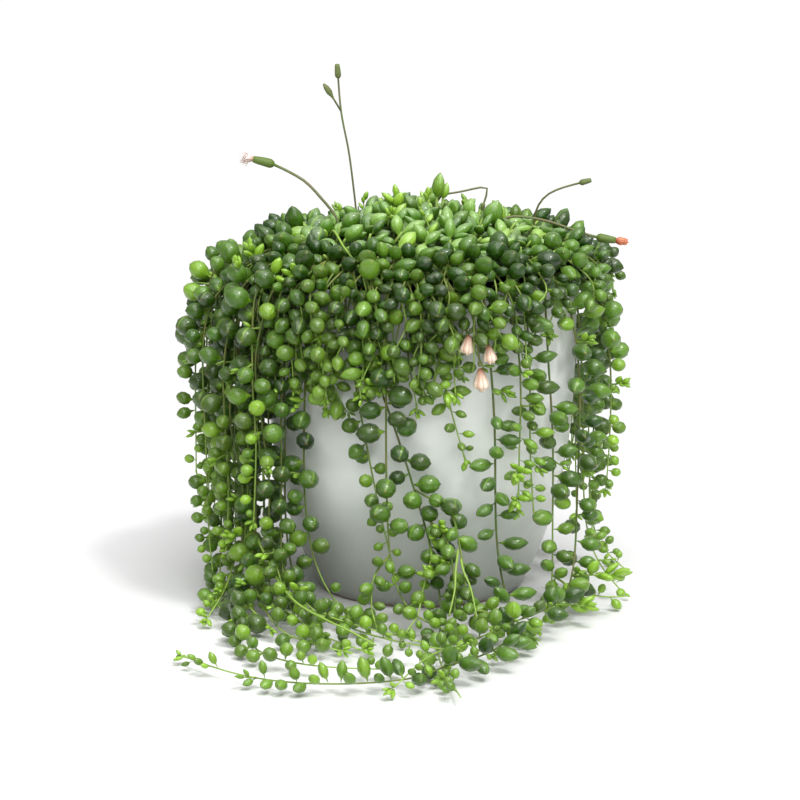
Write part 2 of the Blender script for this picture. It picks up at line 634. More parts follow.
# Bright young tufts: the place whose nearest stem each grows on, the way that it points, its length,
# its number of leaves and their radius
TUFTS = (
    ((-40, -53, 86), (-0.2, -0.6, -0.4), 6, 6, 1.8),
    ((-17, -66, 93), (-0.1, -0.8, -0.2), 8, 8, 2.2),
    ((-20, -66, 108), (0, -0.9, 0.2), 6, 6, 2.0),
    ((6, -66, 92), (0.2, -0.8, -0.5), 7, 5, 2.2),
    ((30, -58, 126), (0.1, -0.9, 0.3), 7, 6, 2.0),
    ((37, -60, 97), (0.3, -0.8, 0.0), 6, 5, 1.9),
    ((34, -62, 60), (0.1, -0.8, -0.1), 9, 9, 1.9),
    ((36, -62, 52), (-0.2, -0.8, -0.3), 7, 7, 1.9),
    ((4, -70, 34), (0.1, -0.7, 0.4), 12, 10, 2.1),
    ((10, -70, 26), (0.3, -0.6, 0.2), 10, 10, 2.1),
    ((2, -72, 18), (-0.3, -0.7, 0.2), 9, 9, 2.0),
    ((-68, -40, 28), (-0.3, -0.7, 0.2), 9, 8, 2.2),
    ((-60, -52, 20), (-0.2, -0.8, 0.1), 9, 9, 2.2),
    ((-46, -72, 14), (0.0, -0.8, 0.3), 8, 8, 2.1),
    ((-36, -84, 12), (0.2, -0.7, 0.4), 8, 8, 2.0),
    ((-77, -34, 132), (-0.4, -0.5, 0.6), 7, 7, 2.1),
    ((-70, -38, 134), (-0.2, -0.5, 0.8), 8, 8, 2.2),
    ((-62, -30, 139), (-0.3, -0.2, 0.9), 12, 8, 1.9),
    ((-58, -46, 132), (-0.2, -0.7, 0.6), 8, 8, 2.2),
    ((-48, -50, 126), (0.0, -0.8, 0.3), 8, 8, 2.1),
    ((58, -40, 7), (0.9, -0.3, 0.15), 14, 8, 2.6),
    ((48, -60, 7), (0.9, -0.5, 0.2), 12, 7, 2.6),
    ((8, -140, 5), (-0.4, -0.8, 0.2), 9, 8, 2.2),
    ((30, -110, 6), (0.5, -0.7, 0.3), 10, 7, 2.4),
)

# Young shoots on the mound, and short shoots over the rim: from which side to which, in degrees from
# the front, how many, how far the shortest and the longest hang down, and how large their leaves are,
# in millimetres
YOUNG_SHOOTS = 40
FRINGE_TRIES = 1600
RIM_SHOOT_HEIGHT = 134.5 * MM
RIM_SHOOTS = (
    (-80, -46, 13, 6, 26, 4.3), (-46, -10, 34, 14, 45, 4.6), (-10, 13, 22, 14, 41, 4.5),
    (13, 46, 13, 5, 28, 4.1), (46, 110, 8, 2, 18, 3.8), (110, 280, 22, 2, 20, 4.0),
)

# Florets of a head: how many, how far they spread in radians, their radius and length as shares of
# the head's, and their colours at the root, at the tip and in the veins
HEAD_LOOKS = {
    "pink_florets": (34, 1.0, 0.11, 0.6, ("#C8A696", "#F4E6E2", "#A07A68")),
    "orange_florets": (34, 0.5, 0.14, 0.5, ("#B86245", "#D98A66", "#8E3F2B")),
    "dried_florets": (18, 0.42, 0.34, 0.8, ("#8A5A40", "#F8E2CE", "#B07C5C")),
}

# Body of a head, from its stalk to its florets: shares of the head's length and radius
BELL_STAGES = ((0, 0.24), (0.08, 0.42), (0.22, 0.6), (0.42, 0.84), (0.6, 1.04), (0.74, 1.02), (0.8, 0.5))
KNOB_STAGES = ((-0.2, 0.3), (0, 0.5), (0.2, 0.66), (0.45, 0.6), (0.6, 0.2))

# Sockets of the Mix node when it mixes colours
MIX_A, MIX_B, MIX_OUT = 6, 7, 2

Leaf = namedtuple("Leaf", "root direction radius length neck flat bend tone young kind")


def linear(colour):
    """An sRGB colour such as #80A040 as linear red, green, blue and alpha."""
    shares = [int(colour[k:k + 2], 16) / 255 for k in (1, 3, 5)]
    return (*(c / 12.92 if c <= 0.04045 else ((c + 0.055) / 1.055) ** 2.4 for c in shares), 1.0)


def join(material, node, values):
    """Gives a node's sockets their numbers, or the outputs that feed them."""
    for socket, value in values.items() if isinstance(values, dict) else enumerate(values):
        if isinstance(value, bpy.types.NodeSocket):
            material.node_tree.links.new(value, node.inputs[socket])
        else:
            node.inputs[socket].default_value = value


def add_node(material, kind, settings, values):
    """Adds a shader node with its settings and its sockets' values, and returns it."""
    node = material.node_tree.nodes.new("ShaderNode" + kind)
    for name, value in settings.items():
        setattr(node, name, value)
    join(material, node, values)
    return node


def new_material(name, values):
    """A material with the numbers of its Principled shader, and that shader."""
    material = bpy.data.materials.new(name)
    material.use_nodes = True
    shader = material.node_tree.nodes["Principled BSDF"]
    join(material, shader, values)
    return material, shader


@functools.cache
def leaf_material(name, deep, mid, pale, young, bloom):
    """Living leaf of a succulent, grown: a smooth waxy skin with a soft broad shine, green flesh that
    lets a little light through, a thin clear window line from stalk to tip, and a powdery bloom on
    top. The youngest leaves are yellowish and clean."""
    material, shader = new_material(name, {
        "Roughness": 0.32, "IOR": 1.42, "Specular IOR Level": 0.4, "Subsurface Weight": 0.12,
        "Subsurface Scale": 0.0014, "Subsurface Radius": (0.7, 1.0, 0.2), "Coat Weight": 0.45,
        "Coat Roughness": 0.12})
    where = add_node(material, "TexCoord", {}, {}).outputs["Object"]
    place = add_node(material, "Attribute", {"attribute_name": "leaf_place"}, {}).outputs["Vector"]
    tone = add_node(material, "Attribute", {"attribute_name": "tone"}, {}).outputs["Fac"]
    age = add_node(material, "Attribute", {"attribute_name": "young"}, {}).outputs["Fac"]
    parts = add_node(material, "SeparateXYZ", {}, [place]).outputs
    mottle = add_node(material, "TexNoise", {}, {
        "Vector": where, "Scale": 1 / (3.5 * MM), "Detail": 4.0, "Roughness": 0.55}).outputs["Fac"]
    dusting = add_node(material, "TexNoise", {}, {
        "Vector": where, "Scale": 1 / (1.6 * MM), "Detail": 4.0, "Roughness": 0.65}).outputs["Fac"]
    cloud = add_node(material, "MapRange", {}, [mottle, 0.3, 0.7, -0.18, 0.18]).outputs[0]
    body = add_node(material, "Math", {"operation": "ADD"}, [tone, cloud]).outputs[0]
    dark = add_node(material, "MapRange", {}, [body, 0.0, 0.55, 0.0, 1.0]).outputs[0]
    light = add_node(material, "MapRange", {}, [body, 0.5, 1.1, 0.0, 1.0]).outputs[0]
    colour = add_node(material, "Mix", {"data_type": "RGBA"}, {
        0: dark, MIX_A: linear(deep), MIX_B: linear(mid)}).outputs[MIX_OUT]
    colour = add_node(material, "Mix", {"data_type": "RGBA"}, {
        0: light, MIX_A: colour, MIX_B: linear(pale)}).outputs[MIX_OUT]
    colour = add_node(material, "Mix", {"data_type": "RGBA"}, {
        0: age, MIX_A: colour, MIX_B: linear(young)}).outputs[MIX_OUT]
    across = add_node(material, "Math", {"operation": "ABSOLUTE"}, [parts["X"]]).outputs[0]
    line = add_node(material, "MapRange", {}, [across, 0.04, 0.2, 0.4, 0.0]).outputs[0]
    upper = add_node(material, "MapRange", {}, [parts["Y"], 0.0, 0.3, 0.0, 1.0]).outputs[0]
    window = add_node(material, "Math", {"operation": "MULTIPLY"}, [line, upper]).outputs[0]
    colour = add_node(material, "Mix", {"data_type": "RGBA"}, {
        0: window, MIX_A: colour, MIX_B: linear(young)}).outputs[MIX_OUT]
    neck = add_node(material, "MapRange", {}, [parts["Z"], -0.05, 0.12, 0.7, 0.0]).outputs[0]
    colour = add_node(material, "Mix", {"data_type": "RGBA"}, {
        0: neck, MIX_A: colour, MIX_B: linear(young)}).outputs[MIX_OUT]
    point = add_node(material, "MapRange", {}, [parts["Z"], 0.93, 1.0, 0.0, 0.3]).outputs[0]
    colour = add_node(material, "Mix", {"data_type": "RGBA"}, {
        0: point, MIX_A: colour, MIX_B: linear("#B9A55A")}).outputs[MIX_OUT]
    facing = add_node(material, "NewGeometry", {}, {}).outputs["Normal"]
    upward = add_node(material, "SeparateXYZ", {}, [facing]).outputs["Z"]
    top = add_node(material, "MapRange", {}, [upward, 0.0, 0.95, 0.0, bloom]).outputs[0]
    patchy = add_node(material, "MapRange", {}, [dusting, 0.3, 0.7, 0.4, 1.0]).outputs[0]
    dust = add_node(material, "Math", {"operation": "MULTIPLY"}, [top, patchy]).outputs[0]
    colour = add_node(material, "Mix", {"data_type": "RGBA"}, {
        0: dust, MIX_A: colour, MIX_B: linear("#BCCFA6")}).outputs[MIX_OUT]
    stretch = add_node(material, "VectorMath", {"operation": "MULTIPLY"}, {
        0: place, 1: (1.7, 1.7, 0.5)}).outputs[0]
    own = add_node(material, "Math", {"operation": "MULTIPLY"}, [tone, 37.0]).outputs[0]
    ridges = add_node(material, "TexNoise", {"noise_dimensions": "4D"}, {
        "Vector": stretch, "W": own, "Scale": 1.3, "Detail": 1.5, "Roughness": 0.5}).outputs["Fac"]
    height = add_node(material, "Math", {"operation": "MULTIPLY_ADD"}, [ridges, 4.0, mottle]).outputs[0]
    uneven = add_node(material, "Bump", {}, {
        "Height": height, "Distance": 0.22 * MM, "Strength": 0.7}).outputs["Normal"]
    join(material, shader, {"Base Color": colour, "Normal": uneven})
    return material


@functools.cache
def stem_material():
    """Green plant stem, grown: satin, faintly ridged, brownish where old and fresh green where young."""
    material, shader = new_material("living_stem", {
        "Roughness": 0.5, "IOR": 1.42, "Subsurface Weight": 0.1, "Subsurface Scale": 0.0008,
        "Subsurface Radius": (0.7, 1.0, 0.25)})
    where = add_node(material, "TexCoord", {}, {}).outputs["Object"]
    age = add_node(material, "Attribute", {"attribute_name": "young"}, {}).outputs["Fac"]
    patches = add_node(material, "TexNoise", {}, {
        "Vector": where, "Scale": 1 / (6 * MM), "Detail": 3.0, "Roughness": 0.6}).outputs["Fac"]
    fine = add_node(material, "TexNoise", {}, {
        "Vector": where, "Scale": 1 / (0.6 * MM), "Detail": 3.0, "Roughness": 0.6}).outputs["Fac"]
    share = add_node(material, "MapRange", {}, [patches, 0.35, 0.65, 0.0, 1.0]).outputs[0]
    old = add_node(material, "Mix", {"data_type": "RGBA"}, {
        0: share, MIX_A: linear("#4F7029"), MIX_B: linear("#6E6B38")}).outputs[MIX_OUT]
    colour = add_node(material, "Mix", {"data_type": "RGBA"}, {
        0: age, MIX_A: old, MIX_B: linear("#94B651")}).outputs[MIX_OUT]
    ridges = add_node(material, "Bump", {}, {
        "Height": fine, "Distance": 0.08 * MM, "Strength": 0.6}).outputs["Normal"]
    join(material, shader, {"Base Color": colour, "Normal": ridges})
    return material


@functools.cache
def old_stem_material():
    """Old stems packed deep in the mound, grown: dull brown-green, nearly dark between the leaves."""
    material, shader = new_material("old_stems", {"Roughness": 0.8, "Specular IOR Level": 0.2})
    where = add_node(material, "TexCoord", {}, {}).outputs["Object"]
    patches = add_node(material, "TexNoise", {}, {
        "Vector": where, "Scale": 1 / (2.2 * MM), "Detail": 5.0, "Roughness": 0.7}).outputs["Fac"]
    share = add_node(material, "MapRange", {}, [patches, 0.35, 0.65, 0.0, 1.0]).outputs[0]
    colour = add_node(material, "Mix", {"data_type": "RGBA"}, {
        0: share, MIX_A: linear("#1E2C12"), MIX_B: linear("#3D5423")}).outputs[MIX_OUT]
    tangle = add_node(material, "Bump", {}, {
        "Height": patches, "Distance": 1.2 * MM, "Strength": 0.9}).outputs["Normal"]
    join(material, shader, {"Base Color": colour, "Normal": tangle})
    return material


@functools.cache
def glaze_material(colour):
    """Glazed stoneware, dipped and fired: a white satin glaze that blurs what it mirrors, barely
    uneven, with paler and greyer clouds in its depth, a rare speck, a greyer coat towards the foot, and
    bare brown clay at its edge."""
    material, shader = new_material("white_satin_glaze", {
        "Roughness": 0.3, "IOR": 1.52, "Coat Weight": 0.3, "Coat Roughness": 0.2})
    where = add_node(material, "TexCoord", {}, {}).outputs["Object"]
    clouds = add_node(material, "TexNoise", {}, {
        "Vector": where, "Scale": 1 / (38 * MM), "Detail": 3.0, "Roughness": 0.5}).outputs["Fac"]
    pits = add_node(material, "TexNoise", {}, {
        "Vector": where, "Scale": 1 / (1.1 * MM), "Detail": 3.0, "Roughness": 0.6}).outputs["Fac"]
    waves = add_node(material, "TexNoise", {}, {
        "Vector": where, "Scale": 1 / (14 * MM), "Detail": 2.0, "Roughness": 0.4}).outputs["Fac"]
    share = add_node(material, "MapRange", {}, [clouds, 0.35, 0.65, 0.0, 1.0]).outputs[0]
    body = add_node(material, "Mix", {"data_type": "RGBA"}, {
        0: share, MIX_A: (*colour, 1.0), MIX_B: linear("#DCE1DD")}).outputs[MIX_OUT]
    speck = add_node(material, "MapRange", {}, [pits, 0.74, 0.8, 0.0, 0.2]).outputs[0]
    body = add_node(material, "Mix", {"data_type": "RGBA"}, {
        0: speck, MIX_A: body, MIX_B: linear("#B4B8B1")}).outputs[MIX_OUT]
    height = add_node(material, "SeparateXYZ", {}, [where]).outputs["Z"]
    low = add_node(material, "MapRange", {}, [height, 3 * MM, 50 * MM, 1.0, 0.0]).outputs[0]
    body = add_node(material, "Mix", {"data_type": "RGBA"}, {
        0: low, MIX_A: body, MIX_B: linear("#888D85")}).outputs[MIX_OUT]
    foot = add_node(material, "MapRange", {}, [height, 0.9 * MM, 1.3 * MM, 0.8, 0.0]).outputs[0]
    body = add_node(material, "Mix", {"data_type": "RGBA"}, {
        0: foot, MIX_A: body, MIX_B: linear("#7A5442")}).outputs[MIX_OUT]
    satin = add_node(material, "MapRange", {}, [clouds, 0.3, 0.7, 0.25, 0.38]).outputs[0]
    height = add_node(material, "Math", {"operation": "MULTIPLY_ADD"}, [pits, 0.05, waves]).outputs[0]
    uneven = add_node(material, "Bump", {}, {
        "Height": height, "Distance": 0.25 * MM, "Strength": 0.5}).outputs["Normal"]
    join(material, shader, {"Base Color": body, "Roughness": satin, "Normal": uneven})
    return material


@functools.cache
def soil_material():
    """Peat potting mix, dry: dark, crumbly and fibrous, with paler grit."""
    material, shader = new_material("peat_potting_mix", {"Roughness": 0.95, "Specular IOR Level": 0.15})
    where = add_node(material, "TexCoord", {}, {}).outputs["Object"]
    crumbs = add_node(material, "TexVoronoi", {}, {"Vector": where, "Scale": 1 / (2.4 * MM)}).outputs
    fine = add_node(material, "TexNoise", {}, {
        "Vector": where, "Scale": 1 / (0.8 * MM), "Detail": 5.0, "Roughness": 0.7}).outputs["Fac"]
    share = add_node(material, "MapRange", {}, [fine, 0.3, 0.7, 0.0, 1.0]).outputs[0]
    colour = add_node(material, "Mix", {"data_type": "RGBA"}, {
        0: share, MIX_A: linear("#1D140D"), MIX_B: linear("#4A3524")}).outputs[MIX_OUT]
    grit = add_node(material, "SeparateXYZ", {}, [crumbs["Color"]]).outputs["X"]
    grit = add_node(material, "MapRange", {}, [grit, 0.9, 0.93, 0.0, 0.7]).outputs[0]
    colour = add_node(material, "Mix", {"data_type": "RGBA"}, {
        0: grit, MIX_A: colour, MIX_B: linear("#A08C72")}).outputs[MIX_OUT]
    height = add_node(material, "Math", {"operation": "ADD"}, [crumbs["Distance"], fine]).outputs[0]
    crumbly = add_node(material, "Bump", {}, {
        "Height": height, "Distance": 1.0 * MM, "Strength": 1.0}).outputs["Normal"]
    join(material, shader, {"Base Color": colour, "Normal": crumbly})
    return material


@functools.cache
def stalk_material():
    """Wiry flower stalk, grown: dull green to brownish, with fresh green on its cup of bracts."""
    material, shader = new_material("flower_stalk", {"Roughness": 0.55, "IOR": 1.42})
    where = add_node(material, "TexCoord", {}, {}).outputs["Object"]
    age = add_node(material, "Attribute", {"attribute_name": "young"}, {}).outputs["Fac"]
    patches = add_node(material, "TexNoise", {}, {
        "Vector": where, "Scale": 1 / (7 * MM), "Detail": 3.0, "Roughness": 0.6}).outputs["Fac"]
    fine = add_node(material, "TexNoise", {}, {
        "Vector": where, "Scale": 1 / (0.5 * MM), "Detail": 3.0, "Roughness": 0.6}).outputs["Fac"]
    share = add_node(material, "MapRange", {}, [patches, 0.35, 0.65, 0.0, 1.0]).outputs[0]
    bare = add_node(material, "Mix", {"data_type": "RGBA"}, {
        0: share, MIX_A: linear("#68754A"), MIX_B: linear("#73684C")}).outputs[MIX_OUT]
    colour = add_node(material, "Mix", {"data_type": "RGBA"}, {
        0: age, MIX_A: bare, MIX_B: linear("#5C7230")}).outputs[MIX_OUT]
    ridges = add_node(material, "Bump", {}, {
        "Height": fine, "Distance": 0.1 * MM, "Strength": 0.6}).outputs["Normal"]
    join(material, shader, {"Base Color": colour, "Normal": ridges})
    return material


@functools.cache
def floret_material(name, root, tip, vein):
    """Thin dry florets, grown: matt, letting some light through, darker at their veins."""
    material, shader = new_material(name, {
        "Roughness": 0.6, "Subsurface Weight": 0.15, "Subsurface Scale": 0.0006,
        "Subsurface Radius": (1.0, 0.7, 0.5)})
    place = add_node(material, "Attribute", {"attribute_name": "leaf_place"}, {}).outputs["Vector"]
    tone = add_node(material, "Attribute", {"attribute_name": "tone"}, {}).outputs["Fac"]
    parts = add_node(material, "SeparateXYZ", {}, [place]).outputs
    share = add_node(material, "MapRange", {}, [parts["Z"], 0.1, 0.5, 0.0, 1.0]).outputs[0]
    colour = add_node(material, "Mix", {"data_type": "RGBA"}, {
        0: share, MIX_A: linear(root), MIX_B: linear(tip)}).outputs[MIX_OUT]
    across = add_node(material, "Math", {"operation": "ABSOLUTE"}, [parts["X"]]).outputs[0]
    line = add_node(material, "MapRange", {}, [across, 0.08, 0.4, 0.55, 0.0]).outputs[0]
    colour = add_node(material, "Mix", {"data_type": "RGBA"}, {
        0: line, MIX_A: colour, MIX_B: linear(vein)}).outputs[MIX_OUT]
    body = add_node(material, "Attribute", {"attribute_name": "young"}, {}).outputs["Fac"]
    angle = add_node(material, "Math", {"operation": "ARCTAN2"}, [parts["Y"], parts["X"]]).outputs[0]
    angle = add_node(material, "Math", {"operation": "MULTIPLY"}, [angle, 8.0]).outputs[0]
    wave = add_node(material, "Math", {"operation": "SINE"}, [angle]).outputs[0]
    stripe = add_node(material, "MapRange", {}, [wave, 0.4, 1.0, 0.0, 0.6]).outputs[0]
    stripe = add_node(material, "Math", {"operation": "MULTIPLY"}, [stripe, body]).outputs[0]
    colour = add_node(material, "Mix", {"data_type": "RGBA"}, {
        0: stripe, MIX_A: colour, MIX_B: linear(vein)}).outputs[MIX_OUT]
    older = add_node(material, "MapRange", {}, [tone, 0.5, 1.0, 0.0, 0.35]).outputs[0]
    colour = add_node(material, "Mix", {"data_type": "RGBA"}, {
        0: older, MIX_A: colour, MIX_B: linear(vein)}).outputs[MIX_OUT]
    join(material, shader, {"Base Color": colour})
    return material


@functools.cache
def table_material(colour):
    """White laminate table top, pressed: matt and even, with the faintest clouding."""
    material, shader = new_material("white_laminate", {"Roughness": 0.6, "Specular IOR Level": 0.3})
    where = add_node(material, "TexCoord", {}, {}).outputs["Object"]
    clouds = add_node(material, "TexNoise", {}, {
        "Vector": where, "Scale": 1 / (120 * MM), "Detail": 3.0, "Roughness": 0.5}).outputs["Fac"]
    body = add_node(material, "MapRange", {}, [clouds, 0.3, 0.7, 0.985, 1.0]).outputs[0]
    white = add_node(material, "Mix", {"data_type": "RGBA"}, {
        0: body, MIX_A: (0.0, 0.0, 0.0, 1.0), MIX_B: (*colour, 1.0)}).outputs[MIX_OUT]
    matt = add_node(material, "MapRange", {}, [clouds, 0.3, 0.7, 0.55, 0.65]).outputs[0]
    join(material, shader, {"Base Color": white, "Roughness": matt})
    return material


@functools.cache
def backdrop_material(brightness):
    """White seamless paper, evenly lit."""
    material = bpy.data.materials.new("white_paper")
    material.use_nodes = True
    shader = material.node_tree.nodes["Principled BSDF"]
    join(material, shader, {"Base Color": (0, 0, 0, 1), "Emission Color": (1, 1, 1, 1),
                            "Emission Strength": brightness, "Specular IOR Level": 0.0})
    return material


def leaf_finish(mound=False):
    if mound:
        return leaf_material("mound_leaf_skin", "#1F460A", "#487A14", "#84AE4C", "#9CC63C", 0.42)
    return leaf_material("pearl_leaf_skin", "#081F00", "#1F4502", "#567F22", "#8CB830", 0.14)


class Form:
    """A leaf's shape, turned about its own axis from its rings, ready to be copied into place."""

    def __init__(self, name, rings, sides):
        made = bmesh.new()
        profile = [(0.0, -1.0 if name in ("round_form", "almond_form") else 0.0)]
        profile += [(width, far) for far, width in rings] + [(0.0, 1.0)]
        verts = [made.verts.new((width, 0, far)) for width, far in profile]
        edges = [made.edges.new(pair) for pair in zip(verts, verts[1:])]
        bmesh.ops.spin(made, geom=verts + edges, axis=(0, 0, 1), cent=(0, 0, 0), steps=sides,
                       angle=math.tau, use_merge=True)
        bmesh.ops.remove_doubles(made, verts=made.verts[:], dist=1e-5)
        bmesh.ops.recalc_face_normals(made, faces=made.faces[:])
        for face in made.faces:
            face.smooth = True
        self.mesh = bpy.data.meshes.new(name)
        made.to_mesh(self.mesh)
        made.free()
        self.points = [tuple(vert.co) for vert in self.mesh.vertices]
        wide = [max(math.hypot(x, y), 1e-6) for x, y, _ in self.points]
        self.place = [(x / w, y / w, z) if w > 1e-3 else (0, 0, z)
                      for (x, y, z), w in zip(self.points, wide)]


@functools.cache
def form(kind):
    sides = LEAF_SIDES if kind in ("round", "almond") else YOUNG_SIDES
    return Form(kind + "_form", LEAF_RINGS[kind], sides)


class Growth:
    """A mesh in the making that stems and leaves are added to, with what their materials read. It is
    made in lots, because a small bmesh grows faster."""

    def __init__(self):
        self.lots = []
        self.start_lot()

    def start_lot(self):
        self.made = bmesh.new()
        layers = self.made.verts.layers
        self.place = layers.float_vector.new("leaf_place")
        self.tone = layers.float.new("tone")
        self.young = layers.float.new("young")

    def end_lot(self):
        mesh = bpy.data.meshes.new("lot")
        self.made.to_mesh(mesh)
        self.made.free()
        self.lots.append(mesh)

    def add_leaf(self, leaf, slot=0):
        """Copies a leaf's shape to its root, along its direction."""
        if len(self.made.verts) > LOT_VERTS:
            self.end_lot()
            self.start_lot()
        shape = form(leaf.kind)
        across = unit(np.cross(leaf.direction, (0.31, 0.27, 0.9)))
        up = np.cross(across, leaf.direction)
        first_vert, first_face = len(self.made.verts), len(self.made.faces)
        self.made.from_mesh(shape.mesh)
        self.made.verts.ensure_lookup_table()
        for vert, (x, y, z), place in zip(self.made.verts[first_vert:], shape.points, shape.place):
            if z < 0:
                centre = leaf.root + leaf.direction * leaf.neck * (1 + z)
                wide = deep = leaf.radius
            else:
                centre = leaf.root + leaf.direction * (leaf.neck + leaf.length * z)
                centre = centre + up * (leaf.bend * leaf.length * z * z)
                wide, deep = leaf.radius, leaf.radius * leaf.flat
            vert.co = centre + across * (x * wide) + up * (y * deep)
            vert[self.place] = place
            vert[self.tone] = leaf.tone
            vert[self.young] = leaf.young
        if slot:
            self.made.faces.ensure_lookup_table()
            for face in self.made.faces[first_face:]:
                face.material_index = slot

    def add_tube(self, points, radii, young, slot=0, sides=STEM_SIDES, flutes=None):
        """Draws a closed round tube through the points, fluted where asked."""
        points = [np.asarray(p, float) for p in points]
        flutes = flutes or [0.0] * len(points)
        across = unit(np.cross(unit(points[1] - points[0]), (0.31, 0.9, 0.2)))
        ring = bmesh.ops.create_circle(self.made, segments=sides, radius=1)["verts"]
        order = {vert: k for k, vert in enumerate(ring)}
        edges = list({edge for vert in ring for edge in vert.link_edges})
        ends = [list(ring)]
        faces = []
        for k, (point, radius) in enumerate(zip(points, radii)):
            ahead = unit(points[min(k + 1, len(points) - 1)] - points[max(k - 1, 0)])
            across = unit(across - ahead * (across @ ahead))
            up = np.cross(ahead, across)
            if k:
                found = bmesh.ops.extrude_edge_only(self.made, edges=edges)["geom"]
                faces += [item for item in found if isinstance(item, bmesh.types.BMFace)]
                edges = [item for item in found if isinstance(item, bmesh.types.BMEdge)]
                behind = order
                order = {}
                for vert in (item for item in found if isinstance(item, bmesh.types.BMVert)):
                    below = next(edge.other_vert(vert) for edge in vert.link_edges
                                 if edge.other_vert(vert) in behind)
                    order[vert] = behind[below]
            for vert, place in order.items():
                angle = math.tau * place / sides
                wide = radius * (1 - flutes[k] * (place % 2))
                vert.co = point + wide * (across * math.cos(angle) + up * math.sin(angle))
                vert[self.place] = (math.cos(angle), math.sin(angle), k / len(points))
                vert[self.tone] = 0.5
                vert[self.young] = young[k]
        ends.append(list(order))
        for end in ends:
            cap = bmesh.ops.contextual_create(self.made, geom=end)["faces"]
            faces += bmesh.ops.poke(self.made, faces=cap)["faces"]
        for face in faces:
            face.material_index = slot
            face.smooth = True

    def finish(self, name, materials):
        self.end_lot()
        self.start_lot()
        for lot in self.lots:
            self.made.from_mesh(lot)
            bpy.data.meshes.remove(lot)
        bmesh.ops.recalc_face_normals(self.made, faces=self.made.faces[:])
        return new_object(name, self.made, materials)


def new_object(name, made, materials):
    """Turns a bmesh into an object of the scene."""
    mesh = bpy.data.meshes.new(name)
    made.to_mesh(mesh)
    made.free()
    for material in materials:
        mesh.materials.append(material)
    thing = bpy.data.objects.new(name, mesh)
    bpy.context.scene.collection.objects.link(thing)
    return thing


def place_piece(piece, node):
    """Ties a finished piece to the pot's body, the node that it stands for, and its finish."""
    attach(piece, "root")
    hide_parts(node)


def mound_plan(room):
    """Where the solid mound has its large leaves: each one's root, direction, radius and length."""
    draw = random.Random(SEED + 2)
    made, fields = core_mesh()
    edge = CORE_OUTLINE[-1][0] * MM
    plan = []
    for face in fields:
        place = np.array(face.calc_center_median())
        facing = np.array(face.normal)
        reach = math.hypot(place[0], place[1]) / edge
        at_side = facing[2] < 0.5
        fullest = SIDE_LEAF_RADIUS if at_side else MOUND_LEAF_RADIUS
        longest = SIDE_LEAF_LENGTH if at_side else MOUND_LEAF_LENGTH
        droop = np.array([0, 0, SIDE_DROOP if at_side else 0.0])
        outward = unit(np.array([place[0], place[1], 0]))
        size = draw.uniform(0.9, 1.06)
        for attempt in range(24):
            sway = np.array([draw.gauss(0, 1), draw.gauss(0, 1), 0]) * (0.16 + 0.03 * attempt)
            lean = LEAN * reach + EDGE_LEAN * reach ** EDGE_POWER
            direction = unit(facing + sway + outward * lean - droop)
            shrink = size * (1 - 0.015 * attempt)
            radius, length = fullest * shrink, longest * shrink
            centres, radii = leaf_balls(place, direction, radius, length)
            if room.clear(centres, radii):
                room.add(centres, radii)
                plan.append((place, direction, radius, length))
                break
    made.free()
    return plan


def first_room(routes, stalks):
    """The room that the stems, the flower stalks and the flower heads take."""
    room = Room()
    for route in routes + stalks:
        count = int(route.length / (1.2 * MM))
        room.add(np.array([route.at(route.length * k / count) for k in range(count + 1)]),
                 np.full(count + 1, STEM_RADIUS))
    for stalk, route in zip(STALKS, stalks):
        room.add(route.points, np.full(len(route.points), STALK_RADIUS + STALK_ROOM))
        room.add(route.points[-5:], np.full(5, stalk.swelling[1] * MM))
    for head in HEADS:
        facing = unit(np.array(head.facing, float))
        for share in (0.2, 0.5, 0.8):
            room.add(np.array(head.base) * MM + facing * head.length * MM * share,
                     head.radius * 1.1 * MM)
    return room


def in_box(pearl):
    """Whether a pearl keeps inside the box of the solids."""
    low, high = np.array(CAD_BOUNDS)
    centres, radii = pearl_balls(pearl)
    radii = radii[:, None] + 0.3 * MM
    return bool((centres - radii > low).all() and (centres + radii < high).all())


def extra_strings():
    """Strands between those of the solids: listed ones, and more that hang at the left and the back."""
    draw = random.Random(SEED + 60)
    made = list(EXTRA_STRINGS)
    for low_side, high_side, count in EXTRA_HUNG:
        for k in range(count):
            side = low_side + (high_side - low_side) * (k + draw.uniform(0.2, 0.8)) / count
            made.append(String(f"extra_{len(made)}", side, side + draw.uniform(-4, 4),
                               draw.choice((8, 12, 17, 21)), draw.uniform(16, 74),
                               draw.uniform(3.9, 4.6), 1.08, 0.0, ()))
    return made


Layout = namedtuple("Layout", "strings routes stalks pearls mound room")


